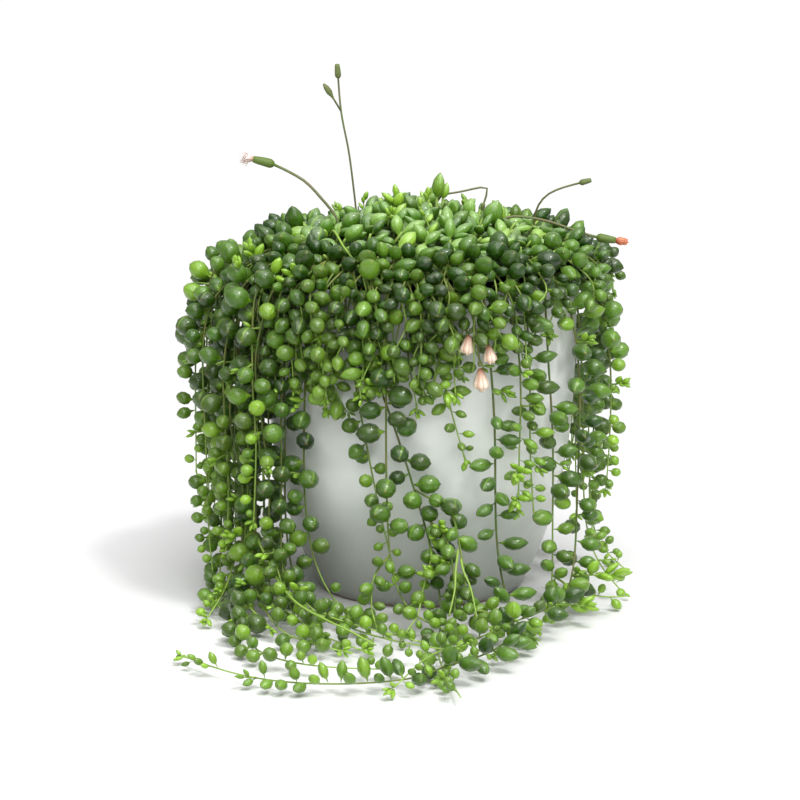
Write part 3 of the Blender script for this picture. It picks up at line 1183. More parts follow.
@functools.cache
def layout():
    """Places the whole plant: first what the solids hold, in the same order, then the pearls between."""
    strings = STRINGS + back_strings()
    stalks = [stalk_route(stalk) for stalk in STALKS]
    routes = settle([first_route(string) for string in strings], [s.points for s in stalks])
    routes = [Route(points) for points in routes]
    room = first_room(routes, stalks)
    mound = mound_plan(room)
    plans, pearls = [], []
    for index, (string, route) in enumerate(zip(strings, routes)):
        plans.append(pearl_plan(string, index, route))
        pearls.append(lay_pearls(string, route, room, plans[-1], range(0, len(plans[-1]), PEARL_STEP)))
    room = first_room(routes, stalks)
    for found in pearls:
        for pearl in found:
            room.add(*pearl_balls(pearl))
    for string, route, plan, found in zip(strings, routes, plans, pearls):
        rest = [k for k in range(len(plan)) if k % PEARL_STEP]
        found += [p for p in lay_pearls(string, route, room, plan, rest) if seen(p)]
    extras = extra_strings()
    strands = [first_route(string) for string in extras]
    for strand in strands:
        keep_off_pot(strand)
    strands = [Route(points) for points in strands]
    for strand in strands:
        count = int(strand.length / (1.2 * MM))
        room.add(np.array([strand.at(strand.length * k / count) for k in range(count + 1)]),
                 np.full(count + 1, STEM_RADIUS))
    for index, (string, route) in enumerate(zip(extras, strands)):
        plan = pearl_plan(string, 100 + index, route)
        if string.lies:
            least = 0.68 * string.pearl * MM
            plan = [(along, max(radius, least), turn, lean) for along, radius, turn, lean in plan]
        pearls.append([p for p in lay_pearls(string, route, room, plan, range(len(plan))) if seen(p)])
    for points, radius, _ in LOOSE_STEMS + BARE_STEMS:
        way = smooth_curve([np.array(p) * MM for p in points], 2 * MM)
        room.add(way, np.full(len(way), radius * MM))
    for root, tip, radius, _ in SINGLE_LEAVES:
        room.add((np.array(root) + np.array(tip)) / 2 * MM, radius * MM)
    return Layout(list(strings) + extras, routes + strands, stalks, pearls, mound, room)


@functools.cache
def open_view():
    """The room in front of what stands out of the mound, where no leaf grows that would hide it."""
    room = Room()
    shown = []
    for stalk in STALKS:
        route = stalk_route(stalk)
        reach = np.hypot(route.points[:, 0], route.points[:, 1])
        bare = route.points[:, 2] > np.array([core_height(r) for r in reach]) + 5 * MM
        cup = route.along > route.length - stalk.swelling[0] * MM
        shown.append((route.points[bare & ~cup], VIEW_RADIUS))
        shown.append((route.points[cup], CUP_VIEW_RADIUS))
    shown += [((np.array([root]) + np.array([tip])) / 2 * MM, VIEW_RADIUS)
              for root, tip, _, _ in SINGLE_LEAVES]
    for head in HEADS:
        facing = unit(np.array([head.facing], float)) * head.length * MM
        shown += [(np.array([head.base]) * MM + facing * far, VIEW_RADIUS) for far in (0.2, 0.8)]
    for points, radius in shown:
        for far in np.arange(VIEW_STEP, VIEW_DEPTH, VIEW_STEP):
            room.add(points + np.array(TOWARDS_EYE) * far, np.full(len(points), radius))
    return room


def seen(pearl):
    """Whether a pearl is inside the box and leaves the view open."""
    return in_box(pearl) and open_view().clear(*pearl_balls(pearl))


def youth(route, along):
    """How young a string is at a distance along it: 0 near its root and 1 at its tip."""
    left = (route.length - along) / min(YOUNG_LENGTH, route.length * YOUNG_SHARE)
    return max(0.0, 1 - left) ** 1.3


def leaf_room(leaf):
    """The balls that stand for a leaf, a little smaller than it, so that leaves may press together."""
    shares = np.array([0.3, 0.5, 0.76, 1.0])
    centres = leaf.root + leaf.direction * (leaf.neck + leaf.length * shares)[:, None]
    return centres, leaf.radius * np.array([0.75, 0.85, 0.6, 0.1])


def fits(leaf, room, sparing=0.0):
    """Whether a leaf is inside the box of the solids, outside the pot, and clear of what is there,
    apart from what is within a distance of its root."""
    centres, radii = leaf_room(leaf)
    spared = np.linalg.norm(room.centres - leaf.root, axis=1) < sparing
    low, high = np.array(CAD_BOUNDS)
    if (centres[-1] < low).any() or (centres[-1] > high).any():
        return False
    if ((centres[1] - leaf.radius) < low).any() or ((centres[1] + leaf.radius) > high).any():
        return False
    if not all(clears_pot(centre, radius) for centre, radius in zip(centres, radii)):
        return False
    if not open_view().clear(centres, radii):
        return False
    return room.clear(centres, radii - PEARL_CLEARANCE, spared)


def under_top(leaf):
    """Whether a leaf of the mound ends below the dome that the mound's top draws."""
    tip = leaf.root + leaf.direction * (leaf.neck + leaf.length)
    reach = math.hypot(tip[0], tip[1])
    heights = np.array(MOUND_TOP, float) * MM
    raised = LEFT_RISE * min(max(-tip[0] - LEFT_RISE_FROM, 0) / (40 * MM), 1)
    lumps = perlin.noise(Vector(tip) / (9 * MM)) * 4 * MM
    return tip[2] < np.interp(reach, heights[:, 0], heights[:, 1]) + raised + lumps


def turned_from(direction, tilt, turn):
    """A direction tilted away from another by an angle, on the side that a turn gives."""
    across = unit(np.cross(direction, (0.21, 0.33, 0.92)))
    up = np.cross(direction, across)
    aside = across * math.cos(turn) + up * math.sin(turn)
    return unit(direction * math.cos(tilt) + aside * math.sin(tilt))


def add_sprig(growth, room, draw, root, direction, length, leaves, size, young=1.0):
    """A short young shoot: a fine stem with small pointed leaves, closer together at its end."""
    bend = np.array([draw.uniform(-1, 1), draw.uniform(-1, 1), draw.uniform(-0.2, 1)]) * 0.3
    points = [root + (direction * share + bend * share * share) * length
              for share in (0, 0.25, 0.5, 0.75, 1)]
    low, high = np.array(CAD_BOUNDS)
    if (points[-1] - 0.6 * MM < low).any() or (points[-1] + 0.6 * MM > high).any():
        return
    growth.add_tube(points, np.linspace(0.45, 0.25, 5) * MM, [young] * 5, slot=1, sides=5)
    turn = draw.uniform(0, math.tau)
    for k in range(leaves):
        share = 1 - 0.8 * (k / leaves) ** 1.3
        place = root + (direction * share + bend * share * share) * length
        turn += 2.4 + draw.uniform(-0.3, 0.3)
        tilt = 0.25 + 0.9 * k / leaves
        full = size * draw.uniform(0.8, 1.15) * (0.75 + 0.35 * k / leaves)
        leaf = Leaf(place, turned_from(direction, tilt, turn), full, full * draw.uniform(2.7, 3.4),
                    0.6 * MM, 0.62, draw.uniform(-0.05, 0.12), draw.uniform(0.3, 0.9), young, "young")
        if fits(leaf, room, ROOT_REACH):
            growth.add_leaf(leaf)


def nearest_stem(routes, place):
    """The point of any stem that is nearest to a place."""
    points = np.concatenate([route.points for route in routes])
    return points[np.argmin(np.linalg.norm(points - place, axis=1))]


def add_string(growth, string, route, pearls, room, draw, width):
    """A trailing stem with its pearls, each on a short stalk, and its young shoots."""
    points = smooth_curve(route.points, STEM_STEP)
    along = np.concatenate([[0.0], np.cumsum(np.linalg.norm(np.diff(points, axis=0), axis=1))])
    shares = along / along[-1]
    radii = width + (STEM_TIP_WIDTH - width) * shares
    young = [youth(route, route.length * share) for share in shares]
    growth.add_tube(points, radii, young, slot=1)
    mood = draw.uniform(-0.15, 0.15) + {"right": 0.18, "left": -0.12}.get(string.name.split("_")[0], 0.0)
    kind = "round" if string.shape < 1.2 else "almond"
    heaped = string.name.startswith("extra") and string.lies
    for pearl in pearls:
        age = youth(route, pearl.along) * (0.45 if heaped else 1.0)
        bright = 0.45 if draw.random() < 0.09 else 0.0
        high = 0.25 * min(max((pearl.root[2] - 85 * MM) / (45 * MM), 0), 1)
        leaf = Leaf(pearl.root, pearl.direction, pearl.radius * 0.98, pearl.length * 0.98,
                    STEM_RADIUS + PETIOLE,
                    0.93 if kind == "round" else 0.82, draw.uniform(-0.04, 0.1),
                    min(max(0.5 + mood + high + draw.uniform(-0.4, 0.4), 0), 1),
                    min(1.0, age * draw.uniform(0.25, 0.8) + 0.1 * draw.random() + bright), kind)
        growth.add_leaf(leaf)
    tip = route.at(route.length)
    add_sprig(growth, room, draw, tip, route.tangent(route.length - 2 * MM), 3 * MM, 5, 1.2 * MM)
    reach = np.hypot(route.points[:, 0], route.points[:, 1])
    begin = route.along[np.argmax(reach > RIM_RADIUS + 1 * MM)]
    place = begin + draw.uniform(10, 45) * MM
    while place < route.length - 8 * MM:
        ahead = route.tangent(place)
        root = route.at(place)
        outward = unit(np.array([root[0], root[1], 20 * MM]))
        aim = unit(outward + ahead * draw.uniform(0.2, 1.2)
                   + np.array([draw.gauss(0, 0.4), draw.gauss(0, 0.4), 0.2]))
        add_sprig(growth, room, draw, root, aim, draw.uniform(3, 7) * MM, draw.randint(4, 7),
                  draw.uniform(1.1, 1.8) * MM, draw.uniform(0.5, 1.0))
        place += draw.uniform(35, 110) * MM


def add_shoot(growth, room, draw, points, pitch, full, shape, young, tones):
    """A short leafy shoot along points: its stem, leaves on alternate sides, and a tuft at its end."""
    route = Route(smooth_curve(points, STEM_STEP))
    shares = route.along / route.length
    ages = young + (1 - young) * shares ** 2
    growth.add_tube(route.points, 0.5 * MM - 0.25 * MM * shares, ages, slot=1, sides=6)
    along = draw.uniform(0.3, 1) * pitch
    turn = draw.uniform(0, math.tau)
    while along < route.length - 1 * MM:
        ahead = route.tangent(along)
        share = along / route.length
        turn += math.pi + draw.uniform(-0.9, 0.9)
        for attempt in range(6):
            radius = full * draw.uniform(0.68, 1.08) * (1 - 0.3 * share ** 2) * (1 - 0.06 * attempt)
            tilt = draw.uniform(0.8, 1.4)
            leaf = Leaf(route.at(along), turned_from(ahead, tilt, turn + attempt * 1.3), radius,
                        radius * 2 * shape * draw.uniform(0.92, 1.1), 1.6 * MM, draw.uniform(0.82, 0.95),
                        draw.uniform(-0.05, 0.1), draw.uniform(0.0, tones) + 0.45 * (1 - share) ** 2,
                        min(1.0, young + (1 - young) * 0.4 * share ** 4),
                        "round" if shape < 1.2 else "almond")
            if fits(leaf, room, ROOT_REACH):
                growth.add_leaf(leaf)
                room.add(*leaf_room(leaf))
                break
        along += pitch * draw.uniform(0.75, 1.25)
    if draw.random() < 0.6:
        add_sprig(growth, room, draw, route.at(route.length), route.tangent(route.length - 1 * MM),
                  2.5 * MM, 4, 1.1 * MM, max(young, 0.6))


def rim_points(draw, side, out, drop, sway):
    """The way of a short shoot from the edge of the mound over the rim and down."""
    hang = RIM_RADIUS + out
    points = [around(side, 50 * MM, core_height(50 * MM) - 1 * MM),
              around(side, 57 * MM, core_height(57 * MM) + 1.5 * MM),
              around(side + sway * 0.3, RIM_RADIUS + out * 0.35, RIM_SHOOT_HEIGHT),
              around(side + sway * 0.6, hang, RIM_SHOOT_HEIGHT - 7 * MM)]
    steps = max(1, round(drop / (10 * MM)))
    for k in range(1, steps + 1):
        points.append(around(side + sway * (0.6 + 0.4 * k / steps) + draw.uniform(-2.5, 2.5),
                             hang + draw.uniform(-1, 2.5) * MM,
                             RIM_SHOOT_HEIGHT - 7 * MM - drop * k / steps))
    return points


def add_rim_shoots(growth, room, draw):
    """Short leafy shoots that spill over the rim all round, longest where the photograph shows them."""
    for low_side, high_side, count, shortest, longest, full in RIM_SHOOTS:
        for k in range(count):
            side = low_side + (high_side - low_side) * (k + draw.uniform(0.1, 0.9)) / count
            drop = draw.uniform(shortest, longest) * MM
            out = draw.uniform(3, 16) * MM
            way = rim_points(draw, side, out, drop, draw.uniform(-13, 13))
            add_shoot(growth, room, draw, way, draw.uniform(3.1, 4.3) * MM,
                      full * draw.uniform(0.85, 1.05) * MM, draw.choice((1.1, 1.1, 1.25, 1.4)),
                      draw.choice((0.0, 0.0, 0.0, 0.0, 0.05, 0.25)), draw.choice((0.3, 0.6, 0.9)))


def add_fringe(growth, room, draw, tries):
    """Leaves that lean out over the rim, so that no gap shows between the mound and what hangs down."""
    for _ in range(tries):
        side = draw.uniform(0, 360)
        root = around(side, draw.uniform(56, 63) * MM, draw.uniform(128.5, 135) * MM)
        outward = around(side, 1.0, 0.0)
        sway = np.array([draw.gauss(0, 0.4), draw.gauss(0, 0.4), draw.uniform(-0.6, 0.5)])
        plump = draw.uniform(0.33, 0.46)
        length = draw.uniform(7, 10) * MM
        leaf = Leaf(root, unit(outward + sway), length * plump, length, draw.uniform(2, 7) * MM,
                    draw.uniform(0.8, 0.95), draw.uniform(-0.05, 0.1), draw.uniform(0.45, 1.15),
                    0.3 * draw.random() ** 2, "round" if plump > 0.41 else "almond")
        if fits(leaf, room, 2 * MM):
            growth.add_leaf(leaf)
            room.add(*leaf_room(leaf))


def add_mound_core():
    """The dark tangle of old stems under the leaves: the solid core, rounded."""
    made, _ = core_mesh()
    bmesh.ops.subdivide_edges(made, edges=made.edges[:], cuts=1, use_grid_fill=True)
    bmesh.ops.smooth_vert(made, verts=made.verts[:], factor=0.5, use_axis_x=True, use_axis_y=True,
                          use_axis_z=True)
    mesh = bpy.data.meshes.new("mound_core_form")
    made.to_mesh(mesh)
    made.free()
    return mesh


def mound_leaf(draw, root, direction, length, neck):
    """A leaf of the mound: round low at the left, else long, and now and then slim or young."""
    low_left = root[0] < -15 * MM and root[2] < 141 * MM
    plump = draw.uniform(0.38, 0.47) if low_left else draw.uniform(0.29, 0.4)
    if not low_left and draw.random() < 0.2:
        plump = draw.uniform(0.22, 0.28)
    kind = "round" if plump > 0.42 else "almond"
    age = draw.uniform(0.35, 0.9) if draw.random() < 0.12 else 0.2 * draw.random() ** 2
    return Leaf(root, direction, length * plump, length, neck, draw.uniform(0.75, 0.95),
                draw.uniform(-0.05, 0.12), draw.uniform(0.1, 1.0), age, kind)


def add_shoots(growth, plan, room, draw):
    """Leafy shoots along the large leaves of the solid mound, each with a leaf at its end."""
    for place, direction, _, length in plan:
        top = place + direction * length * 0.5
        growth.add_tube([place - direction * 2 * MM, place + direction * length * 0.25, top],
                        [0.7 * MM, 0.6 * MM, 0.45 * MM], [0.5, 0.6, 0.8], slot=1, sides=6)
        end = length * 0.58 * draw.uniform(0.95, 1.1)
        leaf = mound_leaf(draw, top, turned_from(direction, draw.uniform(0, 0.2), draw.uniform(0, 6)),
                          end, 0.4 * MM)
        if under_top(leaf) and fits(leaf, room, ROOT_REACH):
            growth.add_leaf(leaf)
            room.add(*leaf_room(leaf))
        turn = draw.uniform(0, math.tau)
        for k in range(7):
            share = 0.42 - 0.07 * k
            root = place + direction * length * share
            for attempt in range(4):
                turn += 2.4 + draw.uniform(-0.2, 0.2)
                tilt = 0.6 + 0.13 * k + draw.uniform(-0.15, 0.15)
                leaf = mound_leaf(draw, root, turned_from(direction, tilt, turn),
                                  draw.uniform(8, 11.5) * MM * (1 - 0.06 * attempt), 1.2 * MM)
                if under_top(leaf) and fits(leaf, room, ROOT_REACH):
                    growth.add_leaf(leaf)
                    room.add(*leaf_room(leaf))
                    break


def add_young_growth(growth, room, draw, count):
    """Bright young shoots that stand out of the mound."""
    edge = CORE_OUTLINE[-1][0] * MM
    for _ in range(count):
        reach = edge * math.sqrt(draw.random()) * 1.02
        side = draw.uniform(0, math.tau)
        outward = np.array([math.cos(side), math.sin(side), 0])
        sway = np.array([draw.gauss(0, 0.3), draw.gauss(0, 0.3), 0])
        direction = unit(np.array([0, 0, 1]) + outward * 0.9 * (reach / edge) ** 3 + sway)
        base = outward * reach + np.array([0, 0, core_height(reach)])
        start = draw.uniform(1, 4) * MM
        length = draw.uniform(5, 9) * MM
        end = Leaf(base, direction, 0, start + length, 0, 1, 0, 0, 0, "young")
        if under_top(end):
            add_sprig(growth, room, draw, base + direction * start, direction, length,
                      draw.randint(4, 7), draw.uniform(1.3, 2.3) * MM, draw.uniform(0.5, 1.0))


def add_fill(growth, room, draw, tries):
    """Leaves between the shoots, from roots all over the core, wherever there is room."""
    edge = CORE_OUTLINE[-1][0] * MM
    for _ in range(tries):
        reach = edge * math.sqrt(draw.random())
        side = draw.uniform(0, math.tau)
        outward = np.array([math.cos(side), math.sin(side), 0])
        root = outward * reach + np.array([0, 0, core_height(reach) - 1 * MM])
        sway = np.array([draw.gauss(0, 0.55), draw.gauss(0, 0.55), 0])
        direction = unit(np.array([0, 0, 1]) + outward * 0.7 * (reach / edge) ** 2 + sway)
        leaf = mound_leaf(draw, root, direction, draw.uniform(7, 11.5) * MM, draw.uniform(1, 6) * MM)
        if under_top(leaf) and fits(leaf, room):
            growth.add_leaf(leaf)
            room.add(*leaf_room(leaf))


def add_cover(growth, room, draw, tries):
    """Leaves that lie low over the core, so that it shows nowhere between the taller ones."""
    edge = CORE_OUTLINE[-1][0] * MM
    for _ in range(tries):
        reach = edge * math.sqrt(draw.random()) * 0.98
        side = draw.uniform(0, math.tau)
        root = np.array([reach * math.cos(side), reach * math.sin(side), core_height(reach) + 1.2 * MM])
        way = draw.uniform(0, math.tau)
        slope = (core_height(reach + 1 * MM) - core_height(reach)) / MM * math.cos(way - side)
        direction = unit(np.array([math.cos(way), math.sin(way), slope + draw.uniform(0.15, 0.6)]))
        leaf = mound_leaf(draw, root, direction, draw.uniform(6, 9) * MM, draw.uniform(0.4, 1.5) * MM)
        if fits(leaf, room):
            growth.add_leaf(leaf)
            room.add(*leaf_room(leaf))


def add_singles(growth, draw):
    """The leaves and the loose young stems that stand out of the mound."""
    for root, tip, radius, young in SINGLE_LEAVES:
        root, tip = np.array(root) * MM, np.array(tip) * MM
        foot = np.array([root[0], root[1], core_height(math.hypot(root[0], root[1])) - 1 * MM])
        growth.add_tube([foot, (foot + root) / 2, root + (tip - root) * 0.05], [0.6 * MM] * 3, [0.6] * 3,
                        slot=1, sides=6)
        length = float(np.linalg.norm(tip - root))
        growth.add_leaf(Leaf(root, unit(tip - root), radius * MM, length, 0.2 * MM, 0.75, 0.04, 0.6,
                             young, "almond"))
    for points, radius, young in LOOSE_STEMS:
        way = smooth_curve([np.array(p) * MM for p in points], 2 * MM)
        growth.add_tube(way, np.linspace(radius, radius * 0.6, len(way)) * MM, [young] * len(way), slot=1,
                        sides=6)


class PlantLooks(bpy.types.PropertyGroup):
    """Sizes and colours of the plant and its pot."""
    glaze: FloatVectorProperty(
        name="Glaze", description="Colour of the pot's glaze", subtype="COLOR", size=3,
        min=0, max=1, default=linear("#F5F7F4")[:3])
    fill_leaves: IntProperty(
        name="Leaves tried between shoots", description="How many places between the shoots of the "
        "mound are tried for a further leaf", default=3000, min=0)
    stem_width: FloatProperty(
        name="Stem width", description="Radius of a trailing stem at its root", default=STEM_WIDTH,
        min=0.0002, unit="LENGTH")


class StageLooks(bpy.types.PropertyGroup):
    """The table, the light and the camera."""
    table: FloatVectorProperty(
        name="Table", description="Colour of the table top", subtype="COLOR", size=3, min=0, max=1,
        default=(0.79, 0.79, 0.79))
    backdrop: FloatProperty(
        name="Backdrop", description="Brightness of the plain white backdrop", default=1.02, min=0)
    surroundings: FloatProperty(
        name="Surroundings", description="Light that comes from all round", default=0.24, min=0)
    overhead: FloatProperty(
        name="Overhead light", description="Strength of the wide soft light above", default=2.8, min=0)
    front: FloatProperty(
        name="Front light", description="Strength of the wide soft light at the front",
        default=1.3, min=0)
    key: FloatProperty(
        name="Key light", description="Strength of the smaller light at the front right",
        default=1.2, min=0)


class PEARLS_OT_stage(bpy.types.Operator):
    """Adds the table, the light and the camera"""
    bl_idname = "pearls.stage"
    bl_label = "Add stage"

    def execute(self, context):
        looks = context.scene.pearl_stage
        made = bmesh.new()
        slab = bmesh.ops.create_cube(made, size=1)["verts"]
        bmesh.ops.scale(made, verts=slab, vec=(6, 3.32, 0.03))
        bmesh.ops.translate(made, verts=slab, vec=(0, TABLE_BACK - 1.66, -0.015))
        bmesh.ops.bevel(made, geom=made.edges[:], affect="EDGES", offset=1.5 * MM, segments=3,
                        profile=0.5, material=-1)
        table = new_object("table_top", made, [table_material(tuple(looks.table))])
        made = bmesh.new()
        bmesh.ops.create_uvsphere(made, u_segments=48, v_segments=24, radius=8)
        backdrop = new_object("white_backdrop", made, [backdrop_material(looks.backdrop)])
        for ray in ("diffuse", "glossy", "transmission", "volume_scatter", "shadow"):
            setattr(backdrop, "visible_" + ray, False)
        world = bpy.data.worlds.new("plain_room")
        context.scene.world = world
        world.use_nodes = True
        sky = world.node_tree.nodes["Background"]
        sky.inputs["Color"].default_value = (1, 1, 1, 1)
        sky.inputs["Strength"].default_value = looks.surroundings
        for name, towards, strength, angle in (
                ("overhead_light", OVERHEAD_FROM, looks.overhead, OVERHEAD_ANGLE),
                ("front_light", FRONT_FROM, looks.front, FRONT_ANGLE),
                ("key_light", KEY_FROM, looks.key, KEY_ANGLE)):
            lamp = bpy.data.lights.new(name, "SUN")
            lamp.energy = strength
            lamp.angle = math.radians(angle)
            light = bpy.data.objects.new(name, lamp)
            light.location = Vector(towards) * 1.5
            light.rotation_euler = Vector(towards).to_track_quat("Z", "Y").to_euler()
            context.scene.collection.objects.link(light)
        camera = bpy.data.cameras.new("camera")
        camera.lens = 135
        camera.sensor_width = 36
        camera.clip_end = 20
        eye = bpy.data.objects.new("camera", camera)
        eye.location = (0, -1.16019, 0.30653)
        eye.rotation_euler = (math.radians(78.672), 0, math.radians(0.401))
        context.scene.collection.objects.link(eye)
        context.scene.camera = eye
        context.scene.view_settings.view_transform = "Standard"
        return {"FINISHED"}


class PEARLS_OT_pot(bpy.types.Operator):
    """Adds the glazed pot"""
    bl_idname = "pearls.pot"
    bl_label = "Add pot"

    def execute(self, context):
        heights = np.linspace(FOOT_ROUNDING, POT_HEIGHT - WALL / 2, WALL_STEPS)
        profile = [(0.0, 0.0), (FOOT_RADIUS - FOOT_ROUNDING, 0.0)]
        for k in range(1, 5):
            turn = math.pi / 2 * k / 4
            profile.append((FOOT_RADIUS - FOOT_ROUNDING * (1 - math.sin(turn)),
                            FOOT_ROUNDING * (1 - math.cos(turn))))
        profile += [(wall_radius(h), h) for h in heights]
        for k in range(1, LIP_STEPS):
            turn = math.pi * k / LIP_STEPS
            profile.append((LIP_RADIUS + WALL / 2 * math.cos(turn),
                            POT_HEIGHT - WALL / 2 + WALL / 2 * math.sin(turn)))
        inner = [(wall_radius(h) - WALL, h) for h in heights[::-1] if h > FLOOR + 3 * MM]
        profile += inner
        profile += [(inner[-1][0] - 2.5 * MM, FLOOR + 0.6 * MM), (inner[-1][0] - 6 * MM, FLOOR),
                    (0.0, FLOOR)]
        made = bmesh.new()
        verts = [made.verts.new((radius, 0, height)) for radius, height in profile]
        edges = [made.edges.new(pair) for pair in zip(verts, verts[1:])]
        bmesh.ops.spin(made, geom=verts + edges, axis=(0, 0, 1), cent=(0, 0, 0), steps=POT_TURNS,
                       angle=math.tau, use_merge=True)
        bmesh.ops.remove_doubles(made, verts=made.verts[:], dist=1e-6)
        bmesh.ops.recalc_face_normals(made, faces=made.faces[:])
        for face in made.faces:
            face.smooth = True
        looks = context.scene.pearl_plant
        pot = new_object("glazed_pot", made, [glaze_material(tuple(looks.glaze))])
        place_piece(pot, "pot")
        return {"FINISHED"}


class PEARLS_OT_soil(bpy.types.Operator):
    """Adds the soil with its crumbly top"""
    bl_idname = "pearls.soil"
    bl_label = "Add soil"

    def execute(self, context):
        low, high = FLOOR + GAP, SOIL_TOP
        heights = np.linspace(low + 3 * MM, high, 12)
        reach = [wall_radius(h) - WALL - GAP - 0.3 * MM for h in heights]
        profile = [(0.0, low), (reach[0] - 6 * MM, low)] + list(zip(reach, heights))
        rim = reach[-1]
        profile += [(rim * (1 - k / 16), high) for k in range(1, 16)] + [(0.0, high)]
        made = bmesh.new()
        verts = [made.verts.new((radius, 0, height)) for radius, height in profile]
        edges = [made.edges.new(pair) for pair in zip(verts, verts[1:])]
        bmesh.ops.spin(made, geom=verts + edges, axis=(0, 0, 1), cent=(0, 0, 0), steps=48,
                       angle=math.tau, use_merge=True)
        bmesh.ops.remove_doubles(made, verts=made.verts[:], dist=1e-6)
        bmesh.ops.recalc_face_normals(made, faces=made.faces[:])
        for vert in made.verts:
            if vert.co.z > high - 1e-5:
                vert.co.z -= (1 + perlin.noise(vert.co / (5 * MM))) * 1.2 * MM
        for face in made.faces:
            face.smooth = True
        soil = new_object("potting_soil", made, [soil_material()])
        place_piece(soil, "soil")
        return {"FINISHED"}


class PEARLS_OT_strings(bpy.types.Operator):
    """Adds the trailing stems with their pearls"""
    bl_idname = "pearls.strings"
    bl_label = "Add strings of pearls"

    def execute(self, context):
        plant = layout()
        draw = random.Random(SEED + 20)
        leaf_skin, stem_skin = leaf_finish(), stem_material()
        width = context.scene.pearl_plant.stem_width
        extra = Growth()
        for string, route, pearls in zip(plant.strings, plant.routes, plant.pearls):
            listed = not string.name.startswith("extra")
            growth = Growth() if listed else extra
            add_string(growth, string, route, pearls, plant.room, draw, width)
            if listed:
                piece = growth.finish(string.name.replace("string", "strand"), [leaf_skin, stem_skin])
                place_piece(piece, string.name)
        for base, aim, length, leaves, size in TUFTS:
            root = nearest_stem(plant.routes, np.array(base) * MM)
            add_sprig(extra, plant.room, draw, root, unit(np.array(aim, float)), length * MM, leaves,
                      size * MM, 0.9)
        for points, radius, young in BARE_STEMS:
            way = smooth_curve([np.array(p) * MM for p in points], 2 * MM)
            extra.add_tube(way, np.linspace(radius, radius * 0.6, len(way)) * MM, [young] * len(way), slot=1)
        for points, full, young in BRANCHES:
            root = nearest_stem(plant.routes, np.array(points[0]) * MM)
            way = [root] + [np.array(point) * MM for point in points[1:]]
            add_shoot(extra, plant.room, draw, way, 4 * MM, full * MM, 1.15, young, 0.75)
        piece = extra.finish("extra_strands", [leaf_skin, stem_skin])
        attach(piece, "root")
        return {"FINISHED"}


class PEARLS_OT_mound(bpy.types.Operator):
    """Adds the mound of short leafy shoots on the soil"""
    bl_idname = "pearls.mound"
    bl_label = "Add mound"

    def execute(self, context):
        plant = layout()
        draw = random.Random(SEED + 30)
        growth = Growth()
        growth.made.from_mesh(add_mound_core())
        for face in growth.made.faces:
            face.material_index = 2
            face.smooth = True
        add_singles(growth, draw)
        add_young_growth(growth, plant.room, draw, YOUNG_SHOOTS)
        add_shoots(growth, plant.mound, plant.room, draw)
        add_fill(growth, plant.room, draw, context.scene.pearl_plant.fill_leaves)
        add_cover(growth, plant.room, draw, context.scene.pearl_plant.fill_leaves)
        piece = growth.finish("leafy_mound", [leaf_finish(True), stem_material(), old_stem_material()])
        place_piece(piece, "mound")
        return {"FINISHED"}


class PEARLS_OT_rim_shoots(bpy.types.Operator):
    """Adds the short leafy shoots that spill over the rim"""
    bl_idname = "pearls.rim_shoots"
    bl_label = "Add rim shoots"

    def execute(self, context):
        growth = Growth()
        draw = random.Random(SEED + 50)
        add_rim_shoots(growth, layout().room, draw)
        add_fringe(growth, layout().room, draw, FRINGE_TRIES)
        piece = growth.finish("rim_shoots", [leaf_finish(), stem_material()])
        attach(piece, "root")
        return {"FINISHED"}


class PEARLS_OT_stalks(bpy.types.Operator):
    """Adds the wiry flower stalks"""
    bl_idname = "pearls.stalks"
    bl_label = "Add flower stalks"

    def execute(self, context):
        for stalk, route in zip(STALKS, layout().stalks):
            growth = Growth()
            length, radius = (value * MM for value in stalk.swelling)
            bloom = "bloom" in stalk.name
            wide = BLOOM_STALK_WIDTH if bloom else BUD_STALK_WIDTH
            radius *= 1.0 if bloom else 0.85
            cup = route.length - length
            count = int(cup / STALK_STEP)
            stops = [cup * k / count for k in range(count)]
            stops += [cup + length * share * 0.98 for share, _ in CUP_STAGES]
            radii = [wide] * count + [max(radius * full, wide) for _, full in CUP_STAGES]
            young = [0.15] * count + [1.0 if bloom else 0.5] * len(CUP_STAGES)
            flutes = [0.0] * count + [0.1] * (len(CUP_STAGES) - 1) + [0.0]
            points = [route.at(stop) for stop in stops]
            growth.add_tube(points, radii, young, sides=12, flutes=flutes)
            for branch in stalk.branches:
                side = Route(smooth_curve([np.array(p) * MM for p in branch], 2 * MM))
                stages = ((0, 0.3), (0.45, 0.3), (0.55, 0.5), (0.68, 0.95), (0.85, 0.85), (0.96, 0.45),
                          (1.0, 0.2))
                growth.add_tube([side.at(side.length * share) for share, _ in stages],
                                [max(radius * full, 0.3 * MM) for _, full in stages],
                                [0.2, 0.2, 0.5, 0.5, 0.5, 0.4, 0.3], sides=10,
                                flutes=[0, 0, 0.08, 0.08, 0.08, 0.05, 0])
            for curl in DRY_CURLS if stalk.name == "dried_stalk" else ():
                way = smooth_curve([np.array(p) * MM for p in curl], 1.2 * MM)
                growth.add_tube(way, np.linspace(0.32, 0.16, len(way)) * MM, [0.0] * len(way), sides=6)
            piece = growth.finish("wiry_" + stalk.name, [stalk_material()])
            place_piece(piece, stalk.name)
        return {"FINISHED"}


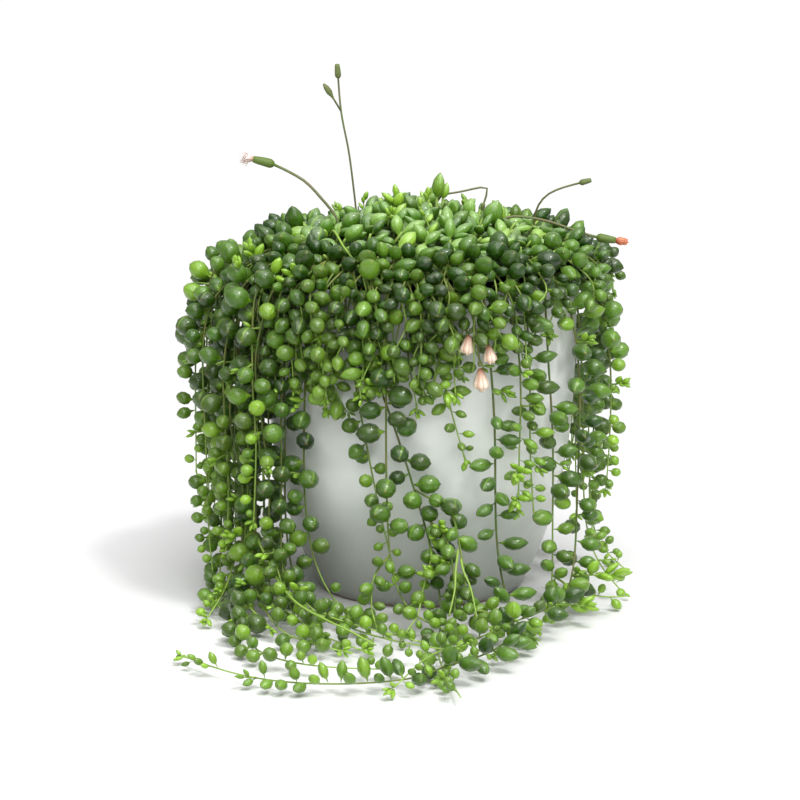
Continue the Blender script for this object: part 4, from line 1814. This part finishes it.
class PEARLS_OT_heads(bpy.types.Operator):
    """Adds the flower heads"""
    bl_idname = "pearls.heads"
    bl_label = "Add flower heads"

    def execute(self, context):
        draw = random.Random(SEED + 40)
        for head in HEADS:
            florets, widest, plump, spread, colours = HEAD_LOOKS[head.material]
            facing = unit(np.array(head.facing, float))
            base = np.array(head.base) * MM
            length, radius = head.length * MM, head.radius * MM
            growth = Growth()
            stages = BELL_STAGES if head.material == "dried_florets" else KNOB_STAGES
            growth.add_tube([base + facing * length * share for share, _ in stages],
                            [radius * full for _, full in stages], [1.0] * len(stages), sides=16,
                            flutes=[0.0] + [0.09] * (len(stages) - 2) + [0.0])
            turn = 0.0
            start = 0.12 if head.material == "dried_florets" else 0.05
            for k in range(florets):
                share = (k + 0.5) / florets
                turn += 2.39996
                tilt = widest * math.sqrt(share) * draw.uniform(0.85, 1.15)
                direction = turned_from(facing, tilt, turn)
                long = length * (1.04 - start) * draw.uniform(0.8, 0.98) * (1 - 0.25 * share)
                leaf = Leaf(base + facing * length * start, direction, radius * plump, long * spread,
                            long * (1 - spread), 0.6, draw.uniform(-0.1, 0.1), draw.random(), 0, "petal")
                growth.add_leaf(leaf)
            piece = growth.finish(head.name + "_florets", [floret_material(head.material, *colours)])
            place_piece(piece, head.name)
        return {"FINISHED"}


STEPS = (PEARLS_OT_stage, PEARLS_OT_pot, PEARLS_OT_soil, PEARLS_OT_strings,
         PEARLS_OT_rim_shoots, PEARLS_OT_mound, PEARLS_OT_stalks, PEARLS_OT_heads)


class PEARLS_PT_panel(bpy.types.Panel):
    """Lists the plant's looks and the steps that build it"""
    bl_idname = "PEARLS_PT_panel"
    bl_label = "String of Pearls"
    bl_space_type = "VIEW_3D"
    bl_region_type = "UI"
    bl_category = "String of Pearls"

    def draw(self, context):
        for looks in (context.scene.pearl_plant, context.scene.pearl_stage):
            for name in looks.__annotations__:
                self.layout.prop(looks, name)
        for step in STEPS:
            self.layout.operator(step.bl_idname)


CLASSES = (PlantLooks, StageLooks, *STEPS, PEARLS_PT_panel)


def register():
    for kind in CLASSES:
        bpy.utils.register_class(kind)
    bpy.types.Scene.pearl_plant = PointerProperty(type=PlantLooks)
    bpy.types.Scene.pearl_stage = PointerProperty(type=StageLooks)


def unregister():
    del bpy.types.Scene.pearl_stage
    del bpy.types.Scene.pearl_plant
    for kind in reversed(CLASSES):
        bpy.utils.unregister_class(kind)


def main():
    register()
    bpy.ops.pearls.stage()
    bpy.ops.pearls.pot()
    bpy.ops.pearls.soil()
    bpy.ops.pearls.strings()
    bpy.ops.pearls.rim_shoots()
    bpy.ops.pearls.mound()
    bpy.ops.pearls.stalks()
    bpy.ops.pearls.heads()


if __name__ == "__main__":
    main()
